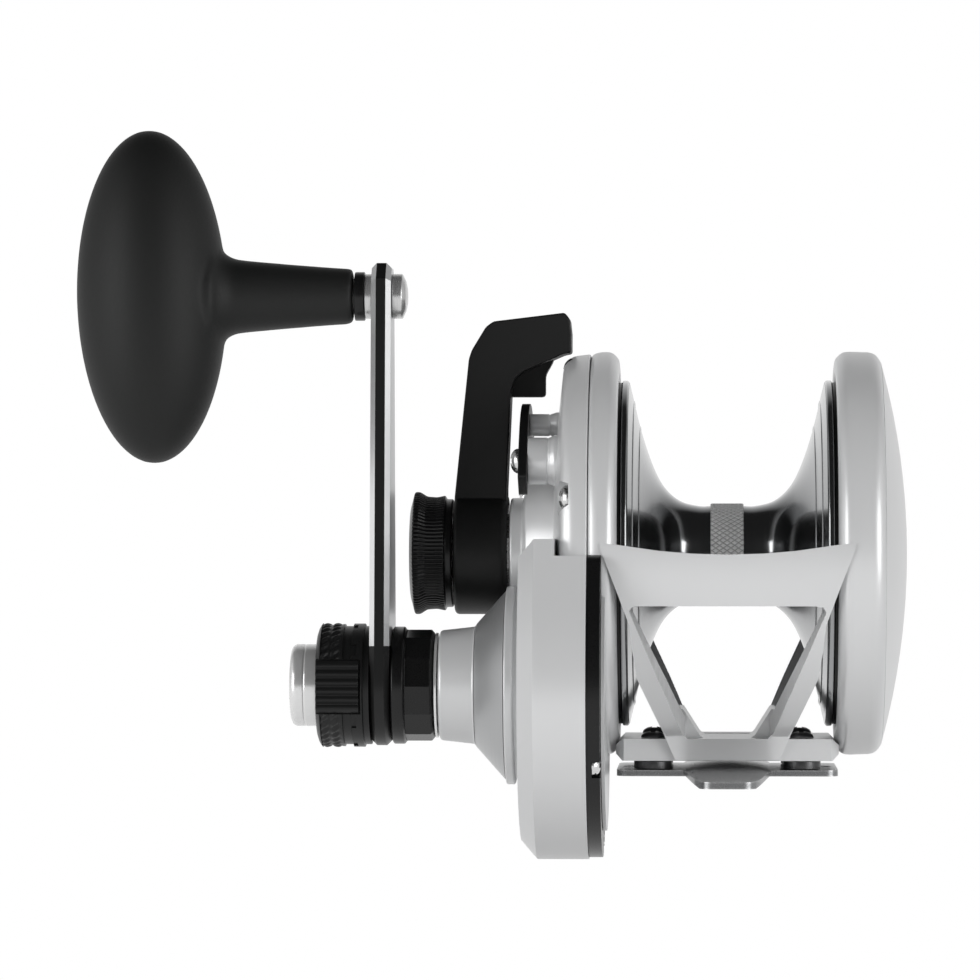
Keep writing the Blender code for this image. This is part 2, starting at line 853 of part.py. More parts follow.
dome_steps = [0, 10, 19, 27, 33, 37]
palm = turned(
    "palm_side_plate",
    [dome(r, DOME_X) for r in dome_steps]
    + [(PALM_SEAM_X + 0.4, DOME_R - 0.15), (PALM_SEAM_X, DOME_R - 0.4)]
    + [(PALM_SEAM_X, RING_BORE_R - 0.3), (PALM_SEAM_X - 1.8, RING_BORE_R - 0.3)]
    + [(PALM_SEAM_X - 1.8, 33.4)]
    + [dome(r, DOME_X - DOME_WALL) for r in (33.0, 26.5, 15)]
    + [(DOME_X - DOME_WALL - 0.2, 5.2), (27.0, 5.2), (27.0, SHAFT_R + SEAT)]
    + [(31.0, SHAFT_R + SEAT), (31.0, 0)],
    SPOOL,
    BIG,
    finish="satin",
)

# Clicker: slides toward the axis along the dome, at the back of the palm cover
tilt = math.asin(CLICK_BUTTON_R / sphere)
surface_x = dome(CLICK_BUTTON_R, DOME_X)[0]
outward = Vector((0, 1, 0))
inward = (Vector((math.sin(tilt), 0, 0)) - outward * math.cos(tilt)).normalized()
normal = (Vector((math.cos(tilt), 0, 0)) + outward * math.sin(tilt)).normalized()
across = normal.cross(inward)
seat_point = (Vector((surface_x, 0, SPOOL_Z)) + outward * CLICK_BUTTON_R) * MM
click_frame = Matrix.Translation(seat_point) @ Matrix((inward, across, normal)).transposed().to_4x4()
slot = block("click_slot", (-1.9, -1.5, -5), (CLICK_TRAVEL + 1.9, 1.5, 3), frame=click_frame)
cut(palm, slot)
button = block(
    "clicker_button", (-3.4, -2.3, RUN), (3.4, 2.3, 1.5), "black", frame=click_frame
)
soften(button, 0.4)
neck = block("click_neck", (-1.4, -1.1, -3.4), (1.4, 1.1, 0.8), frame=click_frame)
join(button, neck)
block("click_tongue", (-0.6, -1.4, -12.6), (1.0, 1.4, -3.5), "steel", frame=click_frame)

# Drag lever, quadrant and preset
LEVER_IN_X = -42.9
lever_outline = [
    (-54.1, 9.0),
    (-54.1, 11.2),
    (-51.3, LEVER_TIP_R - 9.2),
    (-50.7, LEVER_TIP_R - 7.4),
    (-47.9, LEVER_TIP_R - 2.8),
    (-46.4, LEVER_TIP_R - 1.7),
    (-32.2, LEVER_TIP_R),
    (-31.2, LEVER_TIP_R - 1.2),
    (-30.9, LEVER_TIP_R - 4.0),
    (-30.9, LEVER_TIP_R - 7.9),
    (-32.4, LEVER_TIP_R - 8.2),
    (-36.0, LEVER_TIP_R - 9.8),
    (-40.4, LEVER_TIP_R - 11.7),
    (-42.2, LEVER_TIP_R - 13.2),
    (LEVER_IN_X, LEVER_TIP_R - 15.4),
    (LEVER_IN_X - 0.9, 12.8),
    (LEVER_IN_X - 0.9, 9.0),
]
lever = prism(
    "drag_lever", [lever_outline], -LEVER_HALF_Y, LEVER_HALF_Y, SPOOL, "Y", finish="black"
)
soften(lever, 0.7)
web_outline = [
    (-44.6, LEVER_TIP_R - 16.6),
    (-36.2, LEVER_TIP_R - 16.6),
    (-36.2, LEVER_TIP_R - 12.2),
    (-34.6, LEVER_TIP_R - 9.4),
    (-34.2, LEVER_TIP_R - 7.2),
    (-44.6, LEVER_TIP_R - 7.2),
]
web = prism("lever_web", [web_outline], 0.2, LEVER_HALF_Y - 1.0, SPOOL, "Y")
hub = turned(
    "lever_hub",
    [
        (LEVER_HUB_X, LEVER_HUB_R - 0.5),
        (LEVER_HUB_X + 0.5, LEVER_HUB_R),
        (-44.6, LEVER_HUB_R),
        (-43.5, LEVER_HUB_R - 1.0),
        (-43.5, 10.2),
        (-46.2, 10.2),
        (-46.2, SHAFT_R + RUN),
        (LEVER_HUB_X, SHAFT_R + RUN),
    ],
    SPOOL,
    MID,
)
join(lever, web, hub)
lever_room = turned(
    "lever_room",
    [(-46.2, 0), (-46.2, 10.2), (-40, 10.2), (-40, 0)],
    SPOOL,
    MID,
)
lever_bore = turned(
    "lever_bore",
    [(-60, 0), (-60, SHAFT_R + RUN), (-40, SHAFT_R + RUN), (-40, 0)],
    SPOOL,
    SMALL,
)
cut(lever, lever_room, lever_bore)
turned(
    "drag_cam",
    [(-45.8, 9.6), (-43.2, 9.6), (-43.2, SHAFT_R + SEAT), (-45.8, SHAFT_R + SEAT)],
    SPOOL,
    SMALL,
    finish="steel",
)
turned(
    "preset_knob",
    [
        (KNOB_X - 0.2, SHAFT_R + RUN),
        (KNOB_X - 0.2, 9.6),
        (KNOB_X + 0.6, KNOB_R),
        (KNOB_X + 1.6, KNOB_R),
        (KNOB_X + 3.0, KNOB_R - 0.9),
        (KNOB_X + 5.0, KNOB_R - 1.0),
        (KNOB_X + 6.9, KNOB_R - 0.8),
        (KNOB_X + 7.0, KNOB_R - 1.4),
        (LEVER_HUB_X - RUN, KNOB_R - 1.4),
        (LEVER_HUB_X - RUN, 8.0),
        (-59.6, 8.0),
        (-59.6, SHAFT_R + RUN),
    ],
    SPOOL,
    MID,
    finish="black",
)
turned(
    "preset_spring",
    [
        (-59.4, 3.2),
        (-59.4, 4.2),
        (-54.7, 7.4),
        (-54.7, 6.4),
    ],
    SPOOL,
    SMALL,
    finish="steel",
)
quadrant = prism(
    "lever_quadrant",
    [sector(QUADRANT_IN_R, QUADRANT_OUT_R, 60, -76, 14)],
    QUADRANT_X,
    QUADRANT_X + QUADRANT_THICK,
    SPOOL,
    finish="black",
)
cut(quadrant, *quadrant_holes)
for name, centre in (("front", FRONT_POST), ("rear", REAR_POST)):
    screw(
        f"quadrant_screw_{name}",
        QUADRANT_X - SEAT,
        -1,
        (0, *centre),
        2.45,
        1.6,
        1.2,
        4.0,
    )

# Crank: shaft, arm, collars and post
shaft = turned(
    "handle_shaft",
    [
        (-73.6, CRANK_SHAFT_R - 0.4),
        (-73.2, CRANK_SHAFT_R),
        (-31.0, CRANK_SHAFT_R),
        (-31.0, 3.0),
        (-27.4, 3.0),
        (-27.4, 2.1),
        (-73.6, 2.1),
    ],
    HANDLE,
    SMALL,
    finish="steel",
)
KEY_X = HIGH_X[0] + 0.5
shaft_slot = block(
    "shaft_slot",
    (KEY_X - 0.3, HANDLE_Y - 8, HANDLE_Z - 0.95),
    (KEY_X + 1.6 + BUTTON_TRAVEL + 0.3, HANDLE_Y + 8, HANDLE_Z + 0.95),
)
cut(shaft, shaft_slot)
turned(
    "drive_collar",
    [
        (-65.5, 11.3),
        (-65.3, 11.5),
        (-63.1, 11.5),
        (-62.9, 10.7),
        (-57.7, 10.7),
        (-57.2, 10.2),
        (-57.2, CRANK_SHAFT_R + SEAT),
        (-65.5, CRANK_SHAFT_R + SEAT),
    ],
    HANDLE,
    MID,
    finish="black",
)
turned(
    "seal_washer",
    [(-57.1, 10.3), (-56.6, 10.3), (-56.6, CRANK_SHAFT_R + SEAT), (-57.1, CRANK_SHAFT_R + SEAT)],
    HANDLE,
    MID,
    finish="bright",
)
arm_outline = hull(circle(ARM_HUB_R, 20) + circle(ARM_TIP_R, 12, (0, CRANK_LENGTH)))
arm = prism(
    "handle_arm",
    [
        arm_outline,
        circle(clear(CRANK_SHAFT_R + SEAT, SMALL), SMALL),
        circle(clear(POST_R + SEAT, SMALL), SMALL, (0, CRANK_LENGTH)),
    ],
    ARM_X,
    ARM_X + ARM_THICK,
    HANDLE,
    finish="black",
)
soften(arm, 0.9, angle=60)
prism(
    "arm_nut",
    [circle(BUTTON_R - 0.05, 6), circle(clear(CRANK_SHAFT_R + SEAT, SMALL), SMALL)],
    -73.0,
    ARM_X - SEAT,
    HANDLE,
    finish="steel",
)
housing = turned(
    "shift_housing",
    [
        (HOUSING_X, BUTTON_R + 0.3),
        (HOUSING_X, HOUSING_R - 1.9),
        (HOUSING_X + 0.6, HOUSING_R - 0.7),
        (HOUSING_X + 1.7, HOUSING_R),
        (-74.9, HOUSING_R),
        (-74.8, HOUSING_R - 0.6),
        (-73.2, HOUSING_R - 0.6),
        (-73.1, HOUSING_R - 0.1),
        (-70.9, HOUSING_R - 0.1),
        (-70.8, HOUSING_R - 0.6),
        (ARM_X - SEAT, HOUSING_R - 0.6),
        (ARM_X - SEAT, BUTTON_R + 0.3),
    ],
    HANDLE,
    MID,
    finish="black",
)
TAB_X = HOUSING_X + 0.2, -71.6
tab_floor = HOUSING_R - 1.7
tab_room = block(
    "tab_room",
    (HOUSING_X - 2, HANDLE_Y - 15, HANDLE_Z - TAB_HALF - RUN),
    (TAB_X[1] + RUN, HANDLE_Y - tab_floor + TAB_TRAVEL + RUN, HANDLE_Z + TAB_HALF + RUN),
)
cut(housing, tab_room)
ridges = 6
tab_outline = [(-tab_floor, -TAB_HALF), (-tab_floor, TAB_HALF)]
for n in range(2 * ridges + 1):
    z = TAB_HALF - n * TAB_HALF / ridges
    crest = HOUSING_R + 0.4 if n % 2 else HOUSING_R - 0.2
    tab_outline.append((-math.sqrt(crest**2 - z**2), z))
prism("shift_release", [tab_outline], *TAB_X, HANDLE, finish="black")
turned(
    "shift_button",
    [
        (BUTTON_X, 0),
        (BUTTON_X + 0.25, BUTTON_R * 0.6),
        (BUTTON_X + 0.6, BUTTON_R - 0.9),
        (BUTTON_X + 1.0, BUTTON_R - 0.25),
        (BUTTON_X + 1.7, BUTTON_R),
        (-79.0, BUTTON_R),
        (-79.0, 4.6),
        (-83.0, 4.6),
        (-83.0, 0),
    ],
    HANDLE,
    MID,
    finish="bright",
)
rod = turned(
    "shift_rod",
    [(-82.9, 0), (-82.9, 1.8), (-32.4, 1.8), (-32.4, 0)],
    HANDLE,
    TINY,
    finish="steel",
)
join(
    rod,
    block(
        "shift_key",
        (KEY_X, HANDLE_Y - CRANK_SHAFT_R - 0.9, HANDLE_Z - 0.75),
        (KEY_X + 1.6, HANDLE_Y + CRANK_SHAFT_R + 0.9, HANDLE_Z + 0.75),
    ),
)
coil = bpy.data.curves.new("shift_spring", "CURVE")
coil.dimensions = "3D"
coil.bevel_depth = 0.4 * MM
coil.bevel_resolution = 0
coil.use_fill_caps = True
turns = 3.5
spring_points = [i / 8 for i in range(int(8 * turns) + 1)]
wire = coil.splines.new("POLY")
wire.points.add(len(spring_points) - 1)
for point, t in zip(wire.points, spring_points):
    a = 2 * math.pi * t
    x = -82.4 + (82.4 - 74.1) * t / turns
    point.co = (x * MM, 3.4 * math.cos(a) * MM, 3.4 * math.sin(a) * MM, 1)
coil.materials.append(finish_of("shift_spring", "steel"))
spring = bpy.data.objects.new("shift_spring", coil)
spring.location = Vector(HANDLE) * MM
parts.objects.link(spring)
turned(
    "knob_post",
    [
        (-62.6, 0),
        (-63.0, POST_R + 0.4),
        (-63.8, 4.4),
        (ARM_X + ARM_THICK + SEAT, 4.4),
        (ARM_X + ARM_THICK + SEAT, POST_R),
        (-107.0, POST_R),
        (-107.0, 0),
    ],
    KNOB,
    SMALL,
    finish="bright",
)
for name, low, high, radius, finish in (
    ("knob_bushing", -71.0, ARM_X - SEAT, 4.4, "bright"),
    ("knob_washer", STEM_X + RUN, -71.1, 4.8, "black"),
):
    turned(
        name,
        [(low, radius), (high, radius), (high, POST_R + SEAT), (low, POST_R + SEAT)],
        KNOB,
        SMALL,
        finish=finish,
    )

# Grip: an egg and a stem joined, bored for its post
grip_mesh = bpy.data.meshes.new("grip_knob")
shape = bmesh.new()
bmesh.ops.create_uvsphere(shape, u_segments=16, v_segments=11, radius=1)
shape.to_mesh(grip_mesh)
shape.free()
grip_size = Matrix.Diagonal([GRIP_HALF_X * MM, GRIP_HALF_Y * MM, GRIP_HALF_Z * MM, 1])
lean = Matrix.Rotation(math.radians(-GRIP_TILT), 4, "Y")
middle = Matrix.Translation(Vector((GRIP_X, 0, 0)) * MM)
grip_mesh.transform(middle @ lean @ grip_size)
grip = place("grip_knob", grip_mesh, Matrix.Translation(Vector(KNOB) * MM), "rubber")
stem = turned(
    "grip_stem",
    [
        (GRIP_X, 0),
        (GRIP_X, 11.0),
        (-100.6, 10.6),
        (-99.4, 9.0),
        (-97.4, 7.7),
        (-95.4, 7.2),
        (-88.0, 6.5),
        (-80.0, 5.8),
        (STEM_X, STEM_R),
        (STEM_X, 0),
    ],
    KNOB,
    MID,
)
join(grip, stem)
grip_bore = turned(
    "grip_bore",
    [(-107.6, 0), (-107.6, POST_R + RUN), (-70, POST_R + RUN), (-70, 0)],
    KNOB,
    SMALL,
)
cut(grip, grip_bore)

# Foot: lug plate and tapered blade joined, with slots for a rod clamp
lug_corner = 3.0
lug_outline = []
for sx, sy in ((1, 1), (-1, 1), (-1, -1), (1, -1)):
    centre = (sx * (FOOT_HALF_X - lug_corner), sy * (FOOT_LUG_Y - lug_corner))
    first = math.atan2(sy, sx) - math.pi / 4
    for i in range(5):
        t = first + math.pi / 8 * i
        lug_outline.append(
            (centre[0] + lug_corner * math.cos(t), centre[1] + lug_corner * math.sin(t))
        )
slots = []
for side in (1, -1):
    ends = circle(2.5, 8, (13.4, 0), math.pi / 8) + circle(2.5, 8, (18.2, 0), math.pi / 8)
    slots.append([(side * x, y) for x, y in hull(ends)])
bolt_holes = [
    circle(BOLT_R + 0.2, TINY, (sx * BOLT_X, sy * BOLT_Y)) for sx in (1, -1) for sy in (1, -1)
]
foot = prism(
    "reel_foot",
    [lug_outline, *slots, *bolt_holes],
    FOOT_LUG_LOW_Z,
    FOOT_LUG_TOP_Z,
    axis="Z",
    finish="gunmetal",
)
blade_plan = [
    (FOOT_ROOT_HALF, -22),
    (FOOT_ROOT_HALF, 22),
    (FOOT_TIP_HALF + 1.1, FOOT_HALF_Y - 4),
    (FOOT_TIP_HALF - 0.4, FOOT_HALF_Y),
    (-FOOT_TIP_HALF + 0.4, FOOT_HALF_Y),
    (-FOOT_TIP_HALF - 1.1, FOOT_HALF_Y - 4),
    (-FOOT_ROOT_HALF, 22),
    (-FOOT_ROOT_HALF, -22),
    (-FOOT_TIP_HALF - 1.1, -FOOT_HALF_Y + 4),
    (-FOOT_TIP_HALF + 0.4, -FOOT_HALF_Y),
    (FOOT_TIP_HALF - 0.4, -FOOT_HALF_Y),
    (FOOT_TIP_HALF + 1.1, -FOOT_HALF_Y + 4),
]
blade = prism("foot_blade", [blade_plan], 0, 6, axis="Z")
half_side = [(16, FOOT_ROOT_Z), (FOOT_HALF_Y + 1, FOOT_TIP_Z)]
blade_side = [(-y, z) for y, z in half_side[::-1]] + half_side
blade_side = [(-FOOT_HALF_Y - 1, -1)] + blade_side + [(FOOT_HALF_Y + 1, -1)]
side_shape = prism("foot_side", [blade_side], -30, 30, axis="X")
arch = [(x, FOOT_ROOT_Z - 0.9 * (x / FOOT_ROOT_HALF) ** 2) for x in (-9, -6, -3, 0, 3, 6, 9)]
arch_shape = prism("foot_arch", [[(-9, -1)] + arch + [(9, -1)]], -60, 60, axis="Y")
common(blade, side_shape, arch_shape)
join(foot, blade)
for n, (sx, sy) in enumerate(((-1, -1), (1, -1), (-1, 1), (1, 1))):
    at = (sx * BOLT_X, sy * BOLT_Y, 0)
    hole = turned(
        f"bridge_hole_{n}",
        [(0, 0), (0, BOLT_R + SEAT), (12, BOLT_R + SEAT), (12, 0)],
        at,
        TINY,
        "Z",
    )
    cut(frame, hole)
    turned(
        f"foot_spacer_{n + 1}",
        [
            (FOOT_LUG_TOP_Z + SEAT, 3.75),
            (BRIDGE_LOW_Z - SEAT, 3.75),
            (BRIDGE_LOW_Z - SEAT, BOLT_R + SEAT),
            (FOOT_LUG_TOP_Z + SEAT, BOLT_R + SEAT),
        ],
        at,
        SMALL,
        "Z",
        "black",
    )
    screw(
        f"foot_bolt_{n + 1}",
        BRIDGE_TOP_Z + SEAT,
        1,
        at,
        2.4,
        1.3,
        BOLT_R,
        BRIDGE_TOP_Z - FOOT_LUG_LOW_Z - 0.4,
        "Z",
    )
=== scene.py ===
import json
import math

import bmesh
import bpy
from mathutils import Matrix, Vector


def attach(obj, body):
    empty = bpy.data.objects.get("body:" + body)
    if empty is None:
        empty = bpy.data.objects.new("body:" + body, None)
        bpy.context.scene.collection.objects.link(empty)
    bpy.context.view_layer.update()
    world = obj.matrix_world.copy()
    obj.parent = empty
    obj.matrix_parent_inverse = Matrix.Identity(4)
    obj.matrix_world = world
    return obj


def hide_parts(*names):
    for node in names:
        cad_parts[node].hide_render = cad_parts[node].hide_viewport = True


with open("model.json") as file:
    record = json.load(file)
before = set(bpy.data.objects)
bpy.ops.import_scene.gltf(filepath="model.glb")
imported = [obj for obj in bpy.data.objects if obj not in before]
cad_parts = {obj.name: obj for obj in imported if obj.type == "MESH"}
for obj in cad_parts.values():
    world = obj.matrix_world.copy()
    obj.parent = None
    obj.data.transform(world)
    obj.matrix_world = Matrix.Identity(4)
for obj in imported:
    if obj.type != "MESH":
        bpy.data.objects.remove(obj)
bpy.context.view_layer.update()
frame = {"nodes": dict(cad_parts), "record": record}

MM = 0.001
SPOOL_Z = 45.0
GEAR_CENTRES = 31.2
HANDLE_Y = -17.4
HANDLE_Z = SPOOL_Z - math.sqrt(GEAR_CENTRES**2 - HANDLE_Y**2)
CRANK_LENGTH = 76.4
KNOB_Z = HANDLE_Z + CRANK_LENGTH
BAND_IN_R, BAND_R, BAND_HALF = 35.6, 40.55, 25.6
BOLT_X, BOLT_Y = 14.6, 12.0
SIDE_SCREW_R, SIDE_SCREW_TURNS = 36.4, (73, 8, -36, -77)
CASE_SCREW_R, CASE_SCREW_WAYS = 31.6, ((-0.89, -0.456), (0.25, -0.968), (0.8, -0.6))
POST_R, POST_FRONT, POST_REAR = 25.6, 45, -64
KNURL_ROUND, KNURL_PITCH = 58, 1.5
PALM_TOP, CLICKER_R = 35.7, 21.0
ARM_SILVER_Z = 27.0
GRIP_X = -113.2
FLOOR_Z, FLOOR_HALF = -0.13, 6
LAMP_SIZE, LAMP_POWER = (0.7, 1.0), 9.5
SPOOL = (0, 0, SPOOL_Z)
HANDLE = (0, HANDLE_Y, HANDLE_Z)
KNOB = (0, HANDLE_Y, KNOB_Z)
SLOTS = {s["node"]: s["material_slot"] for s in frame["record"]["subparts"]}
BODIES = {n: b for b, ns in frame["record"]["behaviour"]["bodies"].items() for n in ns}


# Materials
def add(tree, kind, inputs=None, **settings):
    node = tree.nodes.new(kind)
    for key, value in settings.items():
        setattr(node, key, value)
    for key, value in (inputs or {}).items():
        if isinstance(value, bpy.types.NodeSocket):
            tree.links.new(value, node.inputs[key])
        else:
            node.inputs[key].default_value = value
    return node


def finish(name, colour, rough, metallic, spread=0.06, rough_spread=0.08, grain=5200,
           bump=0.1, turned_about=None, edge=None, specular=0.5, coat=0.0, mottle=45):
    """Procedural finish: colour drift, fine grain, and optional lathe lines and a painted highlight along
    rounded edges.
    """
    made = bpy.data.materials.new(name)
    made.use_nodes = True
    tree = made.node_tree
    shader = tree.nodes["Principled BSDF"]
    place = add(tree, "ShaderNodeTexCoord").outputs["Object"]
    fine = place
    if turned_about:
        parts = add(tree, "ShaderNodeSeparateXYZ", {0: place})
        y = add(
            tree,
            "ShaderNodeMath",
            {0: parts.outputs["Y"], 1: turned_about[1] * MM},
            operation="SUBTRACT",
        )
        z = add(
            tree,
            "ShaderNodeMath",
            {0: parts.outputs["Z"], 1: turned_about[2] * MM},
            operation="SUBTRACT",
        )
        yy = add(tree, "ShaderNodeMath", {0: y.outputs[0], 1: y.outputs[0]}, operation="MULTIPLY")
        reach = add(
            tree,
            "ShaderNodeMath",
            {0: z.outputs[0], 1: z.outputs[0], 2: yy.outputs[0]},
            operation="MULTIPLY_ADD",
        )
        radius = add(tree, "ShaderNodeMath", {0: reach.outputs[0]}, operation="SQRT")
        fine = add(tree, "ShaderNodeCombineXYZ", {0: parts.outputs["X"], 1: radius.outputs[0]}).outputs[0]
    cloud = add(
        tree,
        "ShaderNodeTexNoise",
        {"Vector": place, "Scale": mottle, "Detail": 3.0, "Roughness": 0.6},
    )
    speck = add(
        tree,
        "ShaderNodeTexNoise",
        {"Vector": fine, "Scale": grain, "Detail": 2.0, "Roughness": 0.7},
    )
    dark = tuple(c * (1 - spread) for c in colour) + (1,)
    light = tuple(min(1, c * (1 + spread)) for c in colour) + (1,)
    tint = add(
        tree,
        "ShaderNodeMix",
        {"Factor": cloud.outputs["Fac"], "A": dark, "B": light},
        data_type="RGBA",
    )
    for key, value in (("A", dark), ("B", light)):
        [s for s in tint.inputs if s.name == key and s.type == "RGBA"][0].default_value = value
    shade = [s for s in tint.outputs if s.type == "RGBA"][0]
    # Painted highlight: the edge colour is mixed in where the bevel normal turns away from the face normal,
    # broken up by the grain.
    if edge:
        soft = add(tree, "ShaderNodeBevel", {"Radius": 0.0006}, samples=4)
        plain = add(tree, "ShaderNodeNewGeometry")
        agree = add(
            tree,
            "ShaderNodeVectorMath",
            {0: soft.outputs[0], 1: plain.outputs["Normal"]},
            operation="DOT_PRODUCT",
        )
        edge_highlight_mask = add(
            tree,
            "ShaderNodeMapRange",
            {0: agree.outputs["Value"], 1: 0.99, 2: 0.86, 3: 0.0, 4: 1.0},
        )
        edge_highlight_spots = add(
            tree,
            "ShaderNodeMath",
            {0: edge_highlight_mask.outputs[0], 1: speck.outputs["Fac"]},
            operation="MULTIPLY",
        )
        blend = add(tree, "ShaderNodeMix", {"Factor": edge_highlight_spots.outputs[0]}, data_type="RGBA")
        colours = [s for s in blend.inputs if s.type == "RGBA"]
        tree.links.new(shade, colours[0])
        colours[1].default_value = tuple(edge) + (1,)
        shade = [s for s in blend.outputs if s.type == "RGBA"][0]
    tree.links.new(shade, shader.inputs["Base Color"])
    gloss = add(
        tree,
        "ShaderNodeMapRange",
        {0: speck.outputs["Fac"], 1: 0.25, 2: 0.75, 3: rough - rough_spread, 4: rough + rough_spread},
    )
    tree.links.new(gloss.outputs[0], shader.inputs["Roughness"])
    relief = add(
        tree,
        "ShaderNodeBump",
        {"Strength": bump, "Distance": 0.00003, "Height": speck.outputs["Fac"]},
    )
    tree.links.new(relief.outputs[0], shader.inputs["Normal"])
    shader.inputs["Metallic"].default_value = metallic
    shader.inputs["Specular IOR Level"].default_value = specular
    if coat:
        shader.inputs["Coat Weight"].default_value = coat
        shader.inputs["Coat Roughness"].default_value = 0.18
    made.diffuse_color = tuple(colour) + (1,)
    return made


SATIN = finish("satin_silver_paint", (0.7, 0.705, 0.71), 0.33, 0.25, 0.02, 0.05, 7000, 0.05)
CONE = finish("brushed_silver", (0.42, 0.425, 0.43), 0.34, 0.6, 0.03, 0.06, 2200, 0.04, turned_about=HANDLE)
SPOOL_METAL = finish(
    "turned_spool", (0.3, 0.305, 0.31), 0.16, 1.0, 0.03, 0.04, 5200, 0.03, turned_about=SPOOL,
)
KNURL = finish("knurled_steel", (0.9, 0.9, 0.9), 0.34, 0.2, 0.05, 0.06, 4000, 0.04)
BRIGHT = finish(
    "bright_machined", (0.78, 0.78, 0.78), 0.24, 0.6, 0.02, 0.03, 5200, 0.015, turned_about=HANDLE,
)
BRIGHT_POST = finish("bright_post", (0.6, 0.6, 0.6), 0.26, 0.75, 0.03, 0.07, 5200, 0.06, turned_about=KNOB)
SCREW = finish("screw_steel", (0.62, 0.62, 0.62), 0.24, 1.0, 0.06, 0.08, 3000, 0.08)
CHAMFER = finish("bright_cut_edge", (0.78, 0.785, 0.79), 0.32, 0.9, 0.02, 0.05, 3600, 0.05)
ARM_SIDE = finish("arm_side_silver", (0.55, 0.555, 0.56), 0.36, 0.85, 0.03, 0.06, 3600, 0.05)
BLACK = finish("black_anodised", (0.006, 0.0062, 0.0062), 0.38, 0.0, 0.15, 0.07, 6500, 0.1, specular=0.3)
BLACK_SHINY = finish("black_gloss", (0.005, 0.005, 0.0052), 0.3, 0.0, 0.15, 0.06, 6500, 0.06, specular=0.32)
RUBBER = finish(
    "soft_touch_rubber", (0.006, 0.0064, 0.0062), 0.58, 0.0, 0.12, 0.08, 6000, 0.25, specular=0.3,
)
LEVER = finish("lever_nylon", (0.006, 0.0062, 0.0062), 0.5, 0.0, 0.12, 0.08, 5200, 0.15, specular=0.25)
# The edge colours of dark_anodised and dark_bolt are painted highlights along their rounded edges.
GUNMETAL = finish(
    "dark_anodised", (0.21, 0.212, 0.216), 0.28, 0.8, 0.05, 0.08, 5200, 0.1, edge=(0.55, 0.55, 0.55),
)
BOLT = finish("dark_bolt", (0.07, 0.07, 0.072), 0.34, 0.8, 0.08, 0.08, 4000, 0.1, edge=(0.3, 0.3, 0.3))
STEEL = finish("ground_steel", (0.5, 0.5, 0.505), 0.28, 1.0, 0.05, 0.08, 3000, 0.08)
BRASS = finish("cut_brass", (0.6, 0.45, 0.2), 0.3, 1.0, 0.06, 0.08, 3000, 0.1)
CARBON = finish("carbon_washer", (0.03, 0.03, 0.034), 0.5, 0.0, 0.25, 0.1, 2500, 0.2)
BY_SLOT = {
    "satin": SATIN, "spool_metal": SPOOL_METAL, "bright": SCREW, "black_metal": BLACK,
    "black_plastic": LEVER, "rubber": RUBBER, "gunmetal": GUNMETAL, "steel": STEEL, "brass": BRASS,
    "carbon": CARBON,
}
for node, obj in frame["nodes"].items():
    for held in obj.material_slots:
        held.material = BY_SLOT[SLOTS[node]]


# Shapes
def closed(shape, name):
    """Mesh of a closed shape, with its faces turned outward."""
    bmesh.ops.recalc_face_normals(shape, faces=shape.faces)
    mesh = bpy.data.meshes.new(name)
    shape.to_mesh(mesh)
    shape.free()
    return mesh


def soften(points, radius, closed=True, count=3):
    """Rounds each corner of an outline by up to this radius."""
    made = []
    total = len(points)
    for i, p in enumerate(points):
        if not closed and i in (0, total - 1):
            made.append(tuple(p))
            continue
        a, b, c = Vector(points[i - 1]), Vector(p), Vector(points[(i + 1) % total])
        back, on = a - b, c - b
        if back.length < 1e-9 or on.length < 1e-9 or math.degrees(back.angle(-on)) < 9:
            made.append(tuple(p))
            continue
        first = b + back.normalized() * min(radius, 0.45 * back.length)
        last = b + on.normalized() * min(radius, 0.45 * on.length)
        for k in range(count + 1):
            u = k / count
            made.append(tuple(first * (1 - u) ** 2 + b * 2 * u * (1 - u) + last * u**2))
    return made


def flowing(points, count=6):
    """A smooth line through some points."""
    made = []
    ends = [points[0]] + list(points) + [points[-1]]
    for a, b, c, d in zip(ends, ends[1:], ends[2:], ends[3:]):
        a, b, c, d = Vector(a), Vector(b), Vector(c), Vector(d)
        for k in range(count):
            u = k / count
            square, cube = 2 * a - 5 * b + 4 * c - d, 3 * b - 3 * c + d - a
            made.append(tuple(0.5 * (2 * b + (c - a) * u + square * u**2 + cube * u**3)))
    return made + [tuple(points[-1])]


def lathe(profile, at=SPOOL, steps=144, axis="X", relief=None):
    """Mesh of (place, radius) points turned about an axis; relief(place, radius, turn) changes the radius."""
    shape = bmesh.new()
    rings = []
    for place, radius in profile:
        ring = []
        for k in range(steps if radius > 1e-6 else 1):
            t = 2 * math.pi * k / steps
            r = relief(place, radius, t) if relief and radius > 1e-6 else radius
            if axis == "X":
                spot = (place, at[1] - r * math.sin(t), at[2] + r * math.cos(t))
            else:
                spot = (at[0] + r * math.cos(t), at[1] + r * math.sin(t), place)
            ring.append(shape.verts.new(Vector(spot) * MM))
        rings.append(ring)
    pairs = list(zip(rings, rings[1:]))
    if min(r for _, r in profile) > 1e-6:
        pairs.append((rings[-1], rings[0]))
    for a, b in pairs:
        for k in range(steps):
            corners = [a[k % len(a)], a[(k + 1) % len(a)], b[(k + 1) % len(b)], b[k % len(b)]]
            corners = list(dict.fromkeys(corners))
            if len(corners) > 2:
                shape.faces.new(corners)
    return closed(shape, "lathe")


LAY = {
    "X": Matrix(((0, 0, 1), (1, 0, 0), (0, 1, 0))),
    "Y": Matrix(((1, 0, 0), (0, 0, -1), (0, 1, 0))),
    "Z": Matrix.Identity(3),
}


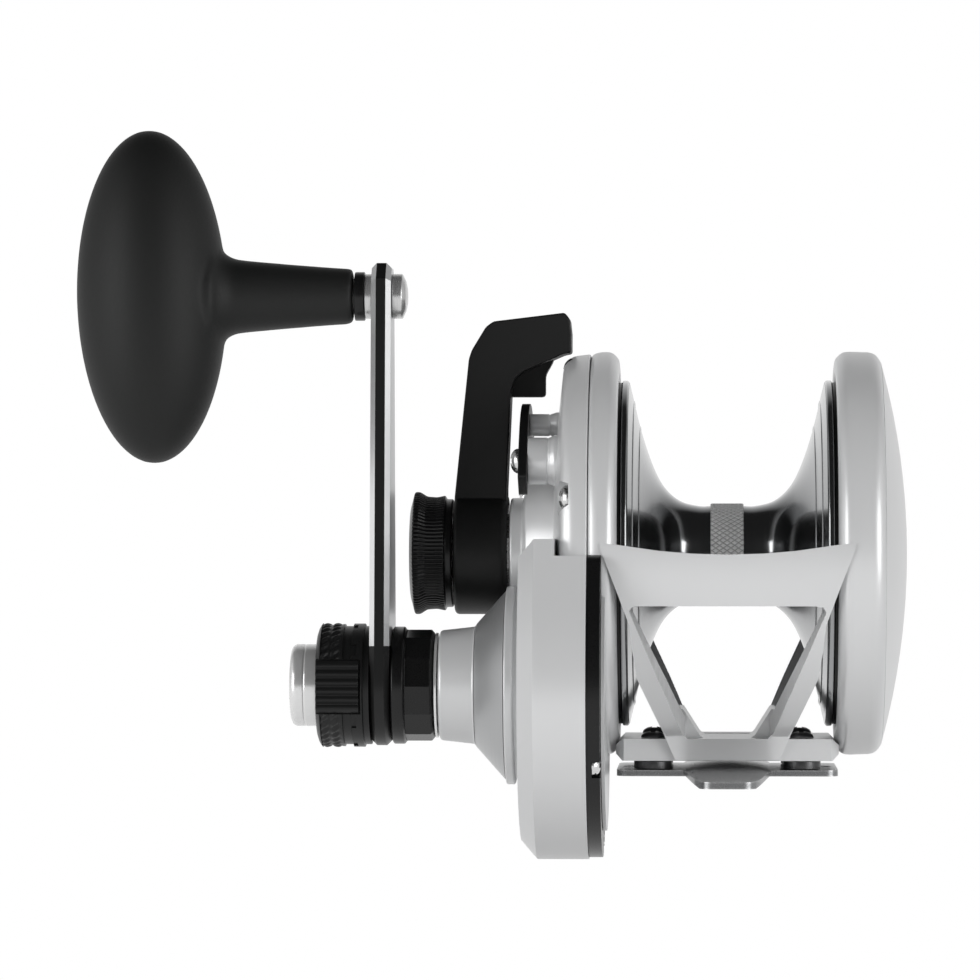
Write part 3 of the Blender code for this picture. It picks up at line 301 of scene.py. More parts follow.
def slab(outlines, low, high, axis="X", at=(0, 0, 0)):
    """Mesh of outlines, the first solid and the rest holes, run from low to high along an axis."""
    curve = bpy.data.curves.new("slab", "CURVE")
    curve.dimensions = "2D"
    curve.fill_mode = "BOTH"
    curve.extrude = (high - low) / 2 * MM
    for outline in outlines:
        spline = curve.splines.new("POLY")
        spline.points.add(len(outline) - 1)
        for point, (u, v) in zip(spline.points, outline):
            point.co = (u * MM, v * MM, 0, 1)
        spline.use_cyclic_u = True
    guide = bpy.data.objects.new("guide", curve)
    mesh = bpy.data.meshes.new_from_object(guide)
    bpy.data.objects.remove(guide)
    bpy.data.curves.remove(curve)
    middle = list(at)
    middle["XYZ".index(axis)] = (low + high) / 2
    mesh.transform(Matrix.Translation(Vector(middle) * MM) @ LAY[axis].to_4x4())
    shape = bmesh.new()
    shape.from_mesh(mesh)
    bmesh.ops.remove_doubles(shape, verts=shape.verts, dist=1e-7)
    bmesh.ops.dissolve_limit(shape, angle_limit=0.002, verts=shape.verts, edges=shape.edges)
    bmesh.ops.recalc_face_normals(shape, faces=shape.faces)
    shape.to_mesh(mesh)
    shape.free()
    mesh.materials.clear()
    return mesh


def box_mesh(low, high, matrix=None):
    shape = bmesh.new()
    size = Matrix.Diagonal([(b - a) * MM for a, b in zip(low, high)] + [1])
    middle = Matrix.Translation(Vector([(a + b) / 2 for a, b in zip(low, high)]) * MM)
    bmesh.ops.create_cube(shape, size=1, matrix=(matrix or Matrix.Identity(4)) @ middle @ size)
    mesh = bpy.data.meshes.new("box")
    shape.to_mesh(mesh)
    shape.free()
    return mesh


def loft(sections):
    """Solid through outlines of (y, z), one at each x, all with the same number of points."""
    shape = bmesh.new()
    rings = [[shape.verts.new(Vector((x, y, z)) * MM) for y, z in outline] for x, outline in sections]
    for a, b in zip(rings, rings[1:]):
        for i in range(len(a)):
            j = (i + 1) % len(a)
            shape.faces.new([a[i], a[j], b[j], b[i]])
    shape.faces.new(rings[0])
    shape.faces.new(rings[-1])
    return closed(shape, "loft")


def carved(base, *steps):
    """Booleans in turn on a mesh; each step is an operation and a tool mesh."""
    scene = bpy.context.scene.collection
    obj = bpy.data.objects.new("carved", base)
    scene.objects.link(obj)
    tools = []
    for operation, mesh in steps:
        tool = bpy.data.objects.new("tool", mesh)
        scene.objects.link(tool)
        tools.append(tool)
        boolean = obj.modifiers.new("cut", "BOOLEAN")
        boolean.operation = operation
        boolean.solver = "EXACT"
        boolean.object = tool
    bpy.context.view_layer.update()
    graph = bpy.context.evaluated_depsgraph_get()
    mesh = bpy.data.meshes.new_from_object(obj.evaluated_get(graph))
    for gone in [obj] + tools:
        bpy.data.objects.remove(gone)
    mesh.materials.clear()
    return mesh


CUT, JOIN, MEET = "DIFFERENCE", "UNION", "INTERSECT"


def piece(name, mesh, material, *nodes, body=None, bevel=0.0, segments=2, angle=30, bevel_angle=28):
    """Shows a mesh as a piece that rides on a body and stands for CAD nodes."""
    mesh.name = name
    obj = bpy.data.objects.new(name, mesh)
    bpy.context.scene.collection.objects.link(obj)
    for finish_used in material if isinstance(material, (list, tuple)) else [material]:
        mesh.materials.append(finish_used)
    for face in mesh.polygons:
        face.use_smooth = True
    if bevel:
        rim = obj.modifiers.new("rim", "BEVEL")
        rim.width = bevel * MM
        rim.segments = segments
        rim.limit_method = "ANGLE"
        rim.angle_limit = math.radians(bevel_angle)
        rim.use_clamp_overlap = True
        rim.harden_normals = True
    else:
        mesh.set_sharp_from_angle(angle=math.radians(angle))
    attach(obj, body or BODIES[nodes[0]])
    if nodes:
        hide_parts(*nodes)
    return obj


def circle(radius, count, centre=(0, 0), start=0.0):
    turns = [start + 2 * math.pi * i / count for i in range(count)]
    return [(centre[0] + radius * math.cos(t), centre[1] + radius * math.sin(t)) for t in turns]


def hull(points):
    points = sorted(set(points))

    def chain(ordered):
        kept = []
        for p in ordered:
            while len(kept) > 1:
                (ax, ay), (bx, by) = kept[-2], kept[-1]
                if (bx - ax) * (p[1] - ay) - (by - ay) * (p[0] - ax) > 1e-9:
                    break
                kept.pop()
            kept.append(p)
        return kept[:-1]

    return chain(points) + chain(points[::-1])


def below(points, top):
    kept = []
    for a, b in zip(points, points[1:] + points[:1]):
        if a[1] <= top:
            kept.append(a)
        if (a[1] - top) * (b[1] - top) < 0:
            share = (top - a[1]) / (b[1] - a[1])
            kept.append((a[0] + share * (b[0] - a[0]), top))
    return kept


def egg(spool_r, handle_r, count=120):
    return hull(circle(spool_r, count, (0, SPOOL_Z)) + circle(handle_r, count, (HANDLE_Y, HANDLE_Z)))


def about_spool(radius, degrees):
    t = math.radians(degrees)
    return -radius * math.sin(t), SPOOL_Z + radius * math.cos(t)


def bore(low, high, radius, at=SPOOL, steps=48, axis="X"):
    return lathe([(low, 0), (low, radius), (high, radius), (high, 0)], at, steps, axis)


# Frame casting
ring_h = soften(
    [(-26.9, 39.5), (-25.3, 40.1), (-22.9, 40.1), (-21.4, 38.7), (-21.3, 35.5), (-26.9, 35.5)],
    0.8,
)
ring_p = soften(
    [
        (21.3, 35.5), (21.4, 38.6), (22.9, 40.0), (24.4, 40.1), (28.5, 39.95), (29.6, 39.4), (30.35, 38.4),
        (30.42, 38.0), (30.1, 37.4), (30.1, 35.5),
    ],
    0.7,
)
band = [(-BAND_HALF, BAND_IN_R), (-BAND_HALF, BAND_R), (BAND_HALF, BAND_R), (BAND_HALF, BAND_IN_R)]
panel_half = [
    (0.0, 44.8), (7.0, 45.0), (13.0, 45.5), (18.0, 46.2), (21.3, 46.7), (24.5, 47.0), (24.3, 45.6),
    (21.4, 38.0), (18.9, 31.3), (18.3, 26.0), (17.4, 20.6), (13.2, 11.4), (10.4, 6.8), (10.4, 5.2),
    (0.0, 5.2),
]
panel_outline = panel_half + [(-x, z) for x, z in panel_half[::-1] if x]


def strut_gap(height):
    """Half width between the struts on the outer face of the band."""
    line = [
        (8.45, 8.3), (9.7, 8.9), (16.2, 11.5), (26.1, 15.7), (32.1, 18.2), (33.8, 18.9), (34.7, 18.3),
        (34.9, 16.9),
    ]
    for (low, a), (high, b) in zip(line, line[1:]):
        if height <= high:
            return a + (b - a) * max(0.0, height - low) / (high - low)
    return line[-1][1]


heights = [34.9, 34.7, 34.3, 33.8, 33.0] + [32.1 - 0.4 * i for i in range(55)]
heights += [10.2, 9.9, 9.7, 9.4, 9.1, 8.9, 8.75, 8.6, 8.5]
dips = [math.asin(min(1.0, (SPOOL_Z - z) / BAND_R)) for z in heights]
rows = list(zip(dips, map(strut_gap, heights)))
rows += [(math.pi / 2, strut_gap(8.45))] + [(math.pi - dip, half) for dip, half in rows[::-1]]
gap = bmesh.new()
corners = []
for dip, half in rows:
    ring = []
    for x, r in ((-half, 12.0), (half, 12.0), (half, 70.0), (-half, 70.0)):
        ring.append(gap.verts.new(Vector((x, -r * math.cos(dip), SPOOL_Z - r * math.sin(dip))) * MM))
    corners.append(ring)
for a, b in zip(corners, corners[1:]):
    for i in range(4):
        gap.faces.new((a[i], a[(i + 1) % 4], b[(i + 1) % 4], b[i]))
gap.faces.new(corners[0])
gap.faces.new(corners[-1][::-1])
gap_mesh = closed(gap, "gap")
panel = carved(
    lathe(band, SPOOL, 200),
    (MEET, slab([panel_outline], -60, 60, "Y")),
    (CUT, gap_mesh),
)
leg_half = [(10.2, 4.5), (13.2, 11.4), (15.4, 16.3), (11.6, 16.3), (8.9, 9.9), (7.9, 8.7)]
leg_side = [
    (-22.6, 15.4), (-19.6, 10.6), (-18.0, 7.0), (-17.5, 4.4), (17.5, 4.4), (18.0, 7.0), (19.6, 10.6),
    (22.6, 15.4), (16, 15.4), (12, 7.5), (-12, 7.5), (-16, 15.4),
]
gusset = [(4.3, 8.4), (9.6, 8.4), (9.6, 14.3), (8.65, 14.3), (5.4, 9.2)]
gusset_left = [(-x, z) for x, z in gusset[::-1]]
gussets = [(JOIN, slab([side], -12.5, 12.5, "Y")) for side in (gusset, gusset_left)]
legs = carved(
    slab([leg_half + [(-x, z) for x, z in leg_half[::-1]]], -26, 26, "Y"),
    (MEET, slab([leg_side], -30, 30, "X")),
)
inner_room = slab([below(egg(43, 37), 44.7)], -29, -24.2)
bridge_plan = [
    (-20.3, -16.6), (20.3, -16.6), (21.9, -13.5), (21.9, 13.5), (20.3, 16.6), (-20.3, 16.6), (-21.9, 13.5),
    (-21.9, -13.5),
]
bridge = carved(
    slab(
        [
            [
                (-20.6, 4.3), (20.6, 4.3), (21.9, 5.6), (21.9, 7.3), (20.5, 8.6), (-20.5, 8.6),
                (-21.9, 7.3), (-21.9, 5.6),
            ]
        ],
        -18,
        18,
        "Y",
    ),
    (MEET, slab([bridge_plan], 0, 12, "Z")),
)
holes = [
    (CUT, bore(0, 12, 1.6, (sx * BOLT_X, sy * BOLT_Y, 0), 24, "Z")) for sx in (1, -1) for sy in (1, -1)
]
casting = carved(
    lathe(ring_h, SPOOL, 200),
    (JOIN, lathe(ring_p, SPOOL, 200)),
    (JOIN, panel),
    (CUT, inner_room),
    (JOIN, bridge),
    (JOIN, legs),
    *gussets,
    *holes,
)
piece("frame_casting", casting, SATIN, "frame", bevel=0.45, segments=3, bevel_angle=32)

# Spool: turned walls with fine ridges, and a knurled band round the arbor
wall = flowing(
    [
        (3.45, 9.4), (5.6, 9.4), (9.3, 10.4), (12.4, 13.1), (14.7, 17.4), (17.0, 24.2), (18.8, 31.7),
        (19.35, 34.0),
    ],
    8,
)
ridged = list(wall)
for ridge_r in (25.0, 30.0):
    spot = min(range(len(ridged)), key=lambda i: abs(ridged[i][1] - ridge_r))
    x, r = ridged[spot]
    ridged[spot:spot + 1] = [
        (x - 0.04, r - 0.2), (x - 0.16, r - 0.08), (x - 0.12, r + 0.08), (x + 0.03, r + 0.2),
    ]
rim = soften(
    [
        (19.35, 34.0), (19.7, 34.4), (20.7, 34.4), (20.75, 33.6), (21.9, 33.6), (21.9, 29.4), (20.4, 29.4),
        (20.4, 6.6), (15.4, 6.6),
    ],
    0.2,
)
half_spool = ridged + rim[1:-1] + [(20.4, 6.6), (15.4, 6.6), (15.4, 3.1)]
outline = [(3.3, 9.4)] + half_spool
spool_profile = [(-x, r) for x, r in outline[::-1]] + outline
piece("spool_turning", lathe(spool_profile, SPOOL, 160), SPOOL_METAL, "spool", angle=24)
# Black rings on the flange rims: painted shade standing for the dark gap between the frame ring and each
# flange.
for name, side in (("palm", 1), ("handle", -1)):
    dark = [(side * x, r) for x, r in ((20.8, 33.4), (20.8, 34.0), (21.85, 34.0), (21.85, 33.4))]
    piece(f"flange_painted_shade_{name}", lathe(soften(dark, 0.1), SPOOL, 160), BLACK, body="spool_body")


def diamond(place, radius, turn):
    """Crossed grooves of a diamond knurl."""
    if radius < 9.6 or abs(place) > 3.05:
        return radius
    a = abs((place / KNURL_PITCH + turn * KNURL_ROUND / (2 * math.pi)) % 1 - 0.5) * 2
    b = abs((place / KNURL_PITCH - turn * KNURL_ROUND / (2 * math.pi)) % 1 - 0.5) * 2
    return radius - 0.3 * max(0.0, max(a, b) - 0.6) / 0.4


def paint_groove_shade(made):
    """Painted shade in the crossed grooves of the knurl: the colour goes to mid grey along them."""
    tree = made.node_tree
    parts = add(tree, "ShaderNodeSeparateXYZ", {0: add(tree, "ShaderNodeTexCoord").outputs["Object"]})
    up = add(tree, "ShaderNodeMath", {0: parts.outputs["Z"], 1: SPOOL_Z * MM}, operation="SUBTRACT")
    front = add(tree, "ShaderNodeMath", {0: parts.outputs["Y"], 1: -1.0}, operation="MULTIPLY")
    turn = add(tree, "ShaderNodeMath", {0: front.outputs[0], 1: up.outputs[0]}, operation="ARCTAN2")
    round_way = add(
        tree,
        "ShaderNodeMath",
        {0: turn.outputs[0], 1: KNURL_ROUND / (2 * math.pi)},
        operation="MULTIPLY",
    )
    long_way = add(
        tree,
        "ShaderNodeMath",
        {0: parts.outputs["X"], 1: 1 / (KNURL_PITCH * MM)},
        operation="MULTIPLY",
    )
    lines = []
    for operation in ("ADD", "SUBTRACT"):
        place = add(
            tree,
            "ShaderNodeMath",
            {0: long_way.outputs[0], 1: round_way.outputs[0]},
            operation=operation,
        )
        wave = add(tree, "ShaderNodeMath", {0: place.outputs[0], 1: 0.5}, operation="PINGPONG")
        lines.append(
            add(
                tree,
                "ShaderNodeMapRange",
                {0: wave.outputs[0], 1: 0.13, 2: 0.03, 3: 0.0, 4: 1.0},
            ).outputs[0]
        )
    groove_shade = add(tree, "ShaderNodeMath", {0: lines[0], 1: lines[1]}, operation="MAXIMUM")
    blend = add(tree, "ShaderNodeMix", {"Factor": groove_shade.outputs[0]}, data_type="RGBA")
    colours = [c for c in blend.inputs if c.type == "RGBA"]
    base = tree.nodes["Principled BSDF"].inputs["Base Color"]
    tree.links.new(base.links[0].from_socket, colours[0])
    colours[1].default_value = (0.42, 0.42, 0.42, 1)
    tree.links.new([c for c in blend.outputs if c.type == "RGBA"][0], base)


# Painted shade in the knurl's grooves.
paint_groove_shade(KNURL)
knurl = [(-3.3, 9.3), (-3.3, 9.7), (-3.12, 9.9)] + [(-3.0 + 0.1 * i, 9.9) for i in range(61)]
knurl += [(3.12, 9.9), (3.3, 9.7), (3.3, 9.3)]
piece("spool_knurl", lathe(knurl, SPOOL, 696, relief=diamond), KNURL, body="spool_body", angle=60)

# Handle side plate with gear case, cone, boss and posts
gear_space = below(hull(circle(12.0, 40, (0, SPOOL_Z)) + circle(29.4, 60, (HANDLE_Y, HANDLE_Z))), 46.3)


def gear_room():
    return slab([gear_space], -38.0, -22)


plate = soften(
    [
        (-27.0, 33.0), (-27.0, 39.7), (-30.2, 39.3), (-31.7, 38.6), (-32.3, 37.6), (-32.9, 32.0),
        (-33.4, 27.4), (-34.2, 17.0), (-34.2, 11.0), (-30.5, 11.0), (-30.5, 33.0),
    ],
    0.6,
)
pockets = []
for turn in SIDE_SCREW_TURNS:
    spot = (0, *about_spool(SIDE_SCREW_R, turn))
    pockets.append(
        (CUT, lathe([(-35, 0), (-35, 3.4), (-30.6, 3.4), (-30.6, 1.4), (-26, 1.4), (-26, 0)], spot, 40))
    )
piece(
    "handle_side_disc",
    carved(lathe(plate, SPOOL, 200), (CUT, gear_room()), *pockets),
    SATIN,
    "handle_side_plate",
    angle=22,
)
top_cut = slab(
    [
        [
            (-50, 47.8), (-50, 90), (-20, 90), (-20, 47.8), (-37.1, 47.8), (-40.2, 44.2), (-43.3, 40.6),
            (-50, 40.6),
        ]
    ],
    -80,
    80,
    "Y",
)
case = carved(
    loft([(-27.0, egg(38.8, 34.0)), (-37.1, egg(38.8, 34.0)), (-40.2, egg(35.2, 30.4))]),
    (CUT, top_cut),
    (CUT, slab([[(-33.2, 44.6), (-33.2, 60), (-20, 60), (-20, 44.6)]], -81, 81, "Y")),
    (CUT, gear_room()),
    (CUT, bore(-37.9, -22, 11.0)),
    (CUT, bore(-30.5, -24.5, 33.0, SPOOL, 96)),
    (CUT, bore(-58, -35, 8.1, HANDLE)),
)
piece("gear_case_shell", case, SATIN, body="frame_body", bevel=1.0, segments=4, bevel_angle=30)
collar_line = soften(
    [(-56.3, 8.1), (-56.3, 10.4), (-55.9, 10.8), (-49.5, 11.5), (-49.3, 11.8), (-49.3, 8.1)],
    0.3,
)
piece("case_collar", lathe(collar_line, HANDLE, 160), SATIN, body="frame_body", angle=24)
cone_line = soften([(-49.25, 8.1), (-49.25, 11.9), (-43.3, 18.6), (-43.3, 8.1)], 0.3)
piece("case_cone", lathe(cone_line, HANDLE, 160), CONE, body="frame_body", angle=24)
rim_line = soften(
    [
        (-43.25, 8.1), (-43.2, 19.2), (-43.0, 19.4), (-41.6, 19.4), (-41.4, 19.1), (-41.3, 18.3),
        (-39.5, 18.3), (-39.5, 8.1),
    ],
    0.25,
)
piece("case_rim", lathe(rim_line, HANDLE, 160), SATIN, body="frame_body", angle=24)
boss = soften(
    [
        (-43.1, 2.8), (-43.1, 10.6), (-42.8, 11.0), (-40.6, 11.0), (-40.4, 11.4), (-39.9, 14.6),
        (-33.0, 17.6), (-33.0, 11.0), (-37.9, 11.0), (-37.9, 6.6), (-41.1, 6.6), (-41.1, 2.8),
    ],
    0.4,
)
piece("spool_boss", lathe(boss, SPOOL, 120), SATIN, body="frame_body", angle=24)
for name, angle, ring_r, radius, foot in (
    ("front", POST_FRONT, POST_R, 4.6, 0.5), ("rear", POST_REAR, POST_R, 4.0, 0.5),
    ("small", 12, 26.0, 2.2, 0.35),
):
    post = soften(
        [
            (-39.0, 0), (-39.0, radius), (-35.3, radius), (-35.2, radius - 0.12), (-35.0, radius - 0.12),
            (-34.9, radius), (-34.5, radius + 0.1), (-33.8, radius + foot), (-32.2, radius + foot),
            (-32.2, 0),
        ],
        0.2,
        False,
    )
    piece(
        f"quadrant_post_{name}",
        lathe(post, (0, *about_spool(ring_r, angle)), 64),
        SATIN,
        body="frame_body",
        angle=24,
    )


def screw(name, node, seat, out, centre, head_r, head_h, axis="X", material=SCREW):
    """Domed screw head with a cross recess, in the place of a CAD screw or bolt."""
    dome = [
        (0.0, head_h), (0.3, head_h * 0.97), (0.6, head_h * 0.84), (0.85, head_h * 0.56),
        (0.97, head_h * 0.28), (1.0, 0.0),
    ]
    profile = [(seat + out * h, head_r * r) for r, h in dome]
    profile += [(seat, head_r * 0.5), (seat - out * 0.8, head_r * 0.5), (seat - out * 0.8, 0)]
    at = list(centre)
    mesh = lathe(profile, at, 48, axis)
    wide, deep = head_r * 0.2, head_h * 0.5
    tools = []
    for a, b in ((head_r * 0.62, wide), (wide, head_r * 0.62)):
        low, high = sorted((seat + out * (head_h - deep), seat + out * (head_h + 1)))
        if axis == "X":
            corners = (low, at[1] - a, at[2] - b), (high, at[1] + a, at[2] + b)
        else:
            corners = (at[0] - a, at[1] - b, low), (at[0] + a, at[1] + b, high)
        tools.append((CUT, box_mesh(*corners)))
    piece(name, carved(mesh, *tools), material, node, angle=35)


for n, turn in enumerate(SIDE_SCREW_TURNS):
    screw(
        f"side_screw_head_{n + 1}", f"side_screw_{n + 1}", -30.7, -1, (0, *about_spool(SIDE_SCREW_R, turn)),
        2.6, 1.8,
    )
for n, (u, v) in enumerate(CASE_SCREW_WAYS):
    spot = (0, HANDLE_Y + u * CASE_SCREW_R, HANDLE_Z + v * CASE_SCREW_R)
    screw(f"case_screw_head_{n + 1}", f"gear_case_screw_{n + 1}", -25.8, 1, spot, 2.1, 1.7)
for name, turn in (("front", POST_FRONT), ("rear", POST_REAR)):
    screw(
        f"quadrant_screw_head_{name}", f"quadrant_screw_{name}", -40.9, -1, (0, *about_spool(POST_R, turn)),
        2.45, 1.6,
    )

# Inner plate of the gear case and its cover
inner_outline = soften(below(egg(39.6, 33.6), 44.6), 1.8, count=5)
notches = []
for u, v in CASE_SCREW_WAYS:
    spot = (0, HANDLE_Y + u * CASE_SCREW_R, HANDLE_Z + v * CASE_SCREW_R)
    notches.append((CUT, bore(-25.9, -23, 2.6, spot, 32)))
inner = carved(slab([inner_outline], -26.9, -24.3), (CUT, bore(-29, -22, 9.5)), *notches)
piece("case_inner_plate", inner, BLACK_SHINY, "gear_case_inner_plate", bevel=0.25)
cover = carved(slab([egg(12, 28.4)], -24.2, -23.5), (CUT, bore(-26, -20, 40.6, SPOOL, 180)))
piece("case_back_plate", cover, SATIN, "gear_case_back_cover", bevel=0.15)

# Palm cover: one smooth dome
sphere = (38.4**2 + 5.3**2) / 2 / 5.3


def dome(radius, top):
    return top - sphere + math.sqrt(sphere**2 - radius**2), radius


palm = [dome(r, PALM_TOP) for r in (0, 4, 8, 12, 16, 20, 24, 28, 31, 34, 36, 37.4, 38.05)]
palm += [(30.2, 38.0), (30.2, 35.2)]
palm += [(28.5, 35.2), (28.5, 33.4)] + [dome(r, 33.7) for r in (33.0, 26.5, 15)]
palm += [(33.5, 5.2), (27.0, 5.2), (27.0, 2.6), (31.0, 2.6), (31.0, 0)]
tilt = math.asin(CLICKER_R / sphere)
surface_x = dome(CLICKER_R, PALM_TOP)[0]
outward = Vector((0, 1, 0))
inward = (Vector((math.sin(tilt), 0, 0)) - outward * math.cos(tilt)).normalized()
normal = (Vector((math.cos(tilt), 0, 0)) + outward * math.sin(tilt)).normalized()
across = normal.cross(inward)
seat_point = (Vector((surface_x, 0, SPOOL_Z)) + outward * CLICKER_R) * MM
click_frame = Matrix.Translation(seat_point) @ Matrix((inward, across, normal)).transposed().to_4x4()
palm_mesh = carved(lathe(palm, SPOOL, 200), (CUT, box_mesh((-1.9, -1.5, -5), (5.4, 1.5, 3), click_frame)))
piece("palm_cover", palm_mesh, SATIN, "palm_side_plate", angle=24)
click = carved(
    box_mesh((-3.4, -2.3, 0.35), (3.4, 2.3, 1.44), click_frame),
    (JOIN, box_mesh((-1.4, -1.1, -3.4), (1.4, 1.1, 0.8), click_frame)),
    *[
        (
            CUT,
            box_mesh((x - 0.22, -3, 1.15), (x + 0.22, 3, 2), click_frame),
        ) for x in (-2.0, -1.0, 0.0, 1.0, 2.0)
    ],
)
piece("clicker_slider", click, LEVER, "clicker_button", bevel=0.2)

# Drag lever: curved arm with a recessed web, on a round hub
lever_outline = [
    (-54.1, 4.0), (-54.1, 11.2), (-51.3, 38.6), (-50.7, 40.4), (-47.9, 45.0), (-46.4, 46.1), (-32.2, 47.8),
    (-31.2, 46.6), (-30.9, 43.8), (-30.9, 39.9), (-32.4, 39.6), (-36.0, 38.0), (-40.4, 36.1), (-42.2, 34.6),
    (-42.9, 32.4), (-43.8, 12.8), (-43.8, 4.0),
]
piece(
    "drag_lever_arm",
    slab([soften(lever_outline, 0.5)], -5.5, 5.5, "Y", SPOOL),
    LEVER,
    "drag_lever",
    bevel=0.6,
    segments=3,
    bevel_angle=40,
)
web_outline = soften(
    [(-46.0, 31.2), (-36.2, 31.2), (-36.2, 35.6), (-34.6, 38.4), (-34.2, 41.6), (-46.0, 41.6)],
    0.8,
)
piece(
    "drag_lever_web",
    slab([web_outline], 0.2, 4.5, "Y", SPOOL),
    LEVER,
    body="lever_body",
    bevel=0.5,
    segments=3,
)
hub = soften(
    [
        (-54.2, 2.85), (-54.2, 11.7), (-53.7, 12.2), (-44.6, 12.2), (-43.5, 11.2), (-43.5, 10.2),
        (-46.2, 10.2), (-46.2, 2.85),
    ],
    0.4,
)
piece("drag_lever_hub", lathe(hub, SPOOL, 96), LEVER, body="lever_body")


def flutes(place, radius, turn):
    if radius < 10.4 or place > -56.2:
        return radius
    return radius - 0.2 * (0.5 + 0.5 * math.cos(88 * turn)) ** 1.5


knob = soften(
    [
        (-63.0, 2.85), (-63.0, 9.2), (-62.7, 10.2), (-62.2, 12.2), (-61.2, 12.2), (-59.8, 11.3),
        (-57.8, 11.15), (-56.1, 11.5), (-55.9, 10.8), (-54.55, 10.8), (-54.55, 8.0), (-59.6, 8.0),
        (-59.6, 2.85),
    ],
    0.35,
)
piece("preset_knob_fluted", lathe(knob, SPOOL, 704, relief=flutes), BLACK_SHINY, "preset_knob", angle=50)


def sector(in_r, out_r, start, end, count):
    turns = [math.radians(start + (end - start) * i / count) for i in range(count + 1)]
    outer = [(-out_r * math.sin(t), out_r * math.cos(t)) for t in turns]
    return outer + [(-in_r * math.sin(t), in_r * math.cos(t)) for t in turns[::-1]]


quadrant = slab([soften(sector(22.5, 29.8, 60, -76, 60), 1.2)], -40.8, -39.1, "X", SPOOL)
piece("quadrant_plate", quadrant, BLACK, "lever_quadrant", bevel=0.25)


# Crank: collar, washer, arm, housing, button, tab and post
def twelve_sided(place, radius, turn):
    if not (-62.8 < place < -57.0) or radius < 9:
        return radius
    step = math.pi / 6
    near = (turn - math.pi / 2) % step - step / 2
    return radius * math.cos(step / 2) / math.cos(near)


collar = soften(
    [
        (-65.5, 5.1), (-65.5, 11.1), (-65.2, 11.5), (-63.2, 11.5), (-62.95, 11.2), (-62.75, 10.9),
        (-57.9, 10.9), (-57.2, 10.1), (-57.2, 5.1),
    ],
    0.15,
)
piece(
    "drive_collar_body",
    lathe(collar, HANDLE, 240, relief=twelve_sided),
    BLACK_SHINY,
    "drive_collar",
    angle=22,
)
piece(
    "seal_ring",
    lathe(soften([(-57.1, 5.1), (-57.1, 10.3), (-56.6, 10.3), (-56.6, 5.1)], 0.12), HANDLE, 120),
    BRIGHT,
    "seal_washer",
)
arm_outline = hull(
    circle(11.8, 64) + [(-6.4, 72.5), (-6.4, 79.6), (-3.2, 82.8), (3.2, 82.8), (6.4, 79.6), (6.4, 72.5)]
)
arm = slab([arm_outline, circle(5.2, 32), circle(2.6, 32, (0, CRANK_LENGTH))], -69.6, -65.7, "X", HANDLE)
shape = bmesh.new()
shape.from_mesh(arm)


def on_arm_rim(edge):
    """Edges round the arm's two faces, without those of its holes."""
    y, z = edge.verts[0].co.y / MM, edge.verts[0].co.z / MM
    flat = abs((edge.verts[0].co - edge.verts[1].co).x) < 1e-7 and len(edge.link_faces) == 2
    if not flat or edge.calc_face_angle() <= 1.2:
        return False
    clear_of_shaft = z > HANDLE_Z + 78 or math.hypot(y - HANDLE_Y, z - HANDLE_Z) > 5.6
    return clear_of_shaft and math.hypot(y - HANDLE_Y, z - KNOB_Z) > 3.0


long_edges = [e for e in shape.edges if on_arm_rim(e)]
bmesh.ops.bevel(shape, geom=long_edges, offset=1.0 * MM, segments=1, affect="EDGES")
bmesh.ops.bisect_plane(
    shape,
    geom=shape.verts[:] + shape.edges[:] + shape.faces[:],
    plane_co=Vector((0, 0, ARM_SILVER_Z)) * MM,
    plane_no=(0, 0, 1),
)
bmesh.ops.recalc_face_normals(shape, faces=shape.faces)
shape.to_mesh(arm)
shape.free()
piece("handle_arm_bar", arm, [BLACK, CHAMFER, ARM_SIDE], "handle_arm", angle=20)
for face in arm.polygons:
    if face.center.z / MM > ARM_SILVER_Z:
        face.material_index = 2 if abs(face.normal.x) > 0.95 else 1 if abs(face.normal.x) > 0.3 else 0


def bumps(place, radius, turn):
    if radius < 11.9 or not (-79.3 < place < -75.4):
        return radius
    column = 0 if place < -77.5 else 1
    across = math.sin(math.pi * ((place + 79.3) / 1.8 if column == 0 else (place + 77.3) / 1.8))
    if across <= 0:
        return radius - 0.38
    along = 0.5 + 0.5 * math.cos(40 * turn + (place * 2.6 if column == 0 else place * 2.6 + math.pi))
    return radius - 0.38 * (1 - across**0.7 * along**0.8)


housing = [(-80.2, 8.35), (-80.2, 10.3), (-79.9, 11.2), (-79.5, 11.9), (-79.3, 12.15)]
housing += [(-79.2 + 0.19 * i, 12.2) for i in range(20)]
housing += [
    (-75.3, 12.0), (-74.9, 12.0), (-74.8, 11.6), (-73.2, 11.6), (-73.1, 12.1), (-71.0, 12.1), (-70.8, 11.6),
    (-69.7, 11.6), (-69.7, 8.35),
]
tab_room = box_mesh((-82, HANDLE_Y - 15, HANDLE_Z - 5.4), (-71.25, HANDLE_Y - 9.25, HANDLE_Z + 5.4))
notches = []
for k in range(10):
    t = math.radians(18 + 36 * k)
    spot = Matrix.Translation(Vector(HANDLE) * MM) @ Matrix.Rotation(t, 4, "X")
    notches.append((CUT, box_mesh((-73.3, -1.3, 11.7), (-72.2, 1.3, 13.5), spot)))
shell = carved(lathe(housing, HANDLE, 320, relief=bumps), (CUT, tab_room), *notches)
piece("shift_housing_body", shell, BLACK, "shift_housing", angle=38)
tab = [(-10.5, -5.05), (-10.5, 5.05)]
ridges = 6
for n in range(ridges * 12 + 1):
    z = 5.05 - 10.1 * n / (ridges * 12)
    crest = 12.05 + 0.55 * (0.5 - 0.5 * math.cos(2 * math.pi * n / 12)) ** 0.7
    tab.append((-math.sqrt(crest**2 - z**2), z))
piece(
    "shift_release_tab", slab([tab], -80.0, -71.6, "X", HANDLE), LEVER, "shift_release", bevel=0.25,
    bevel_angle=50,
)
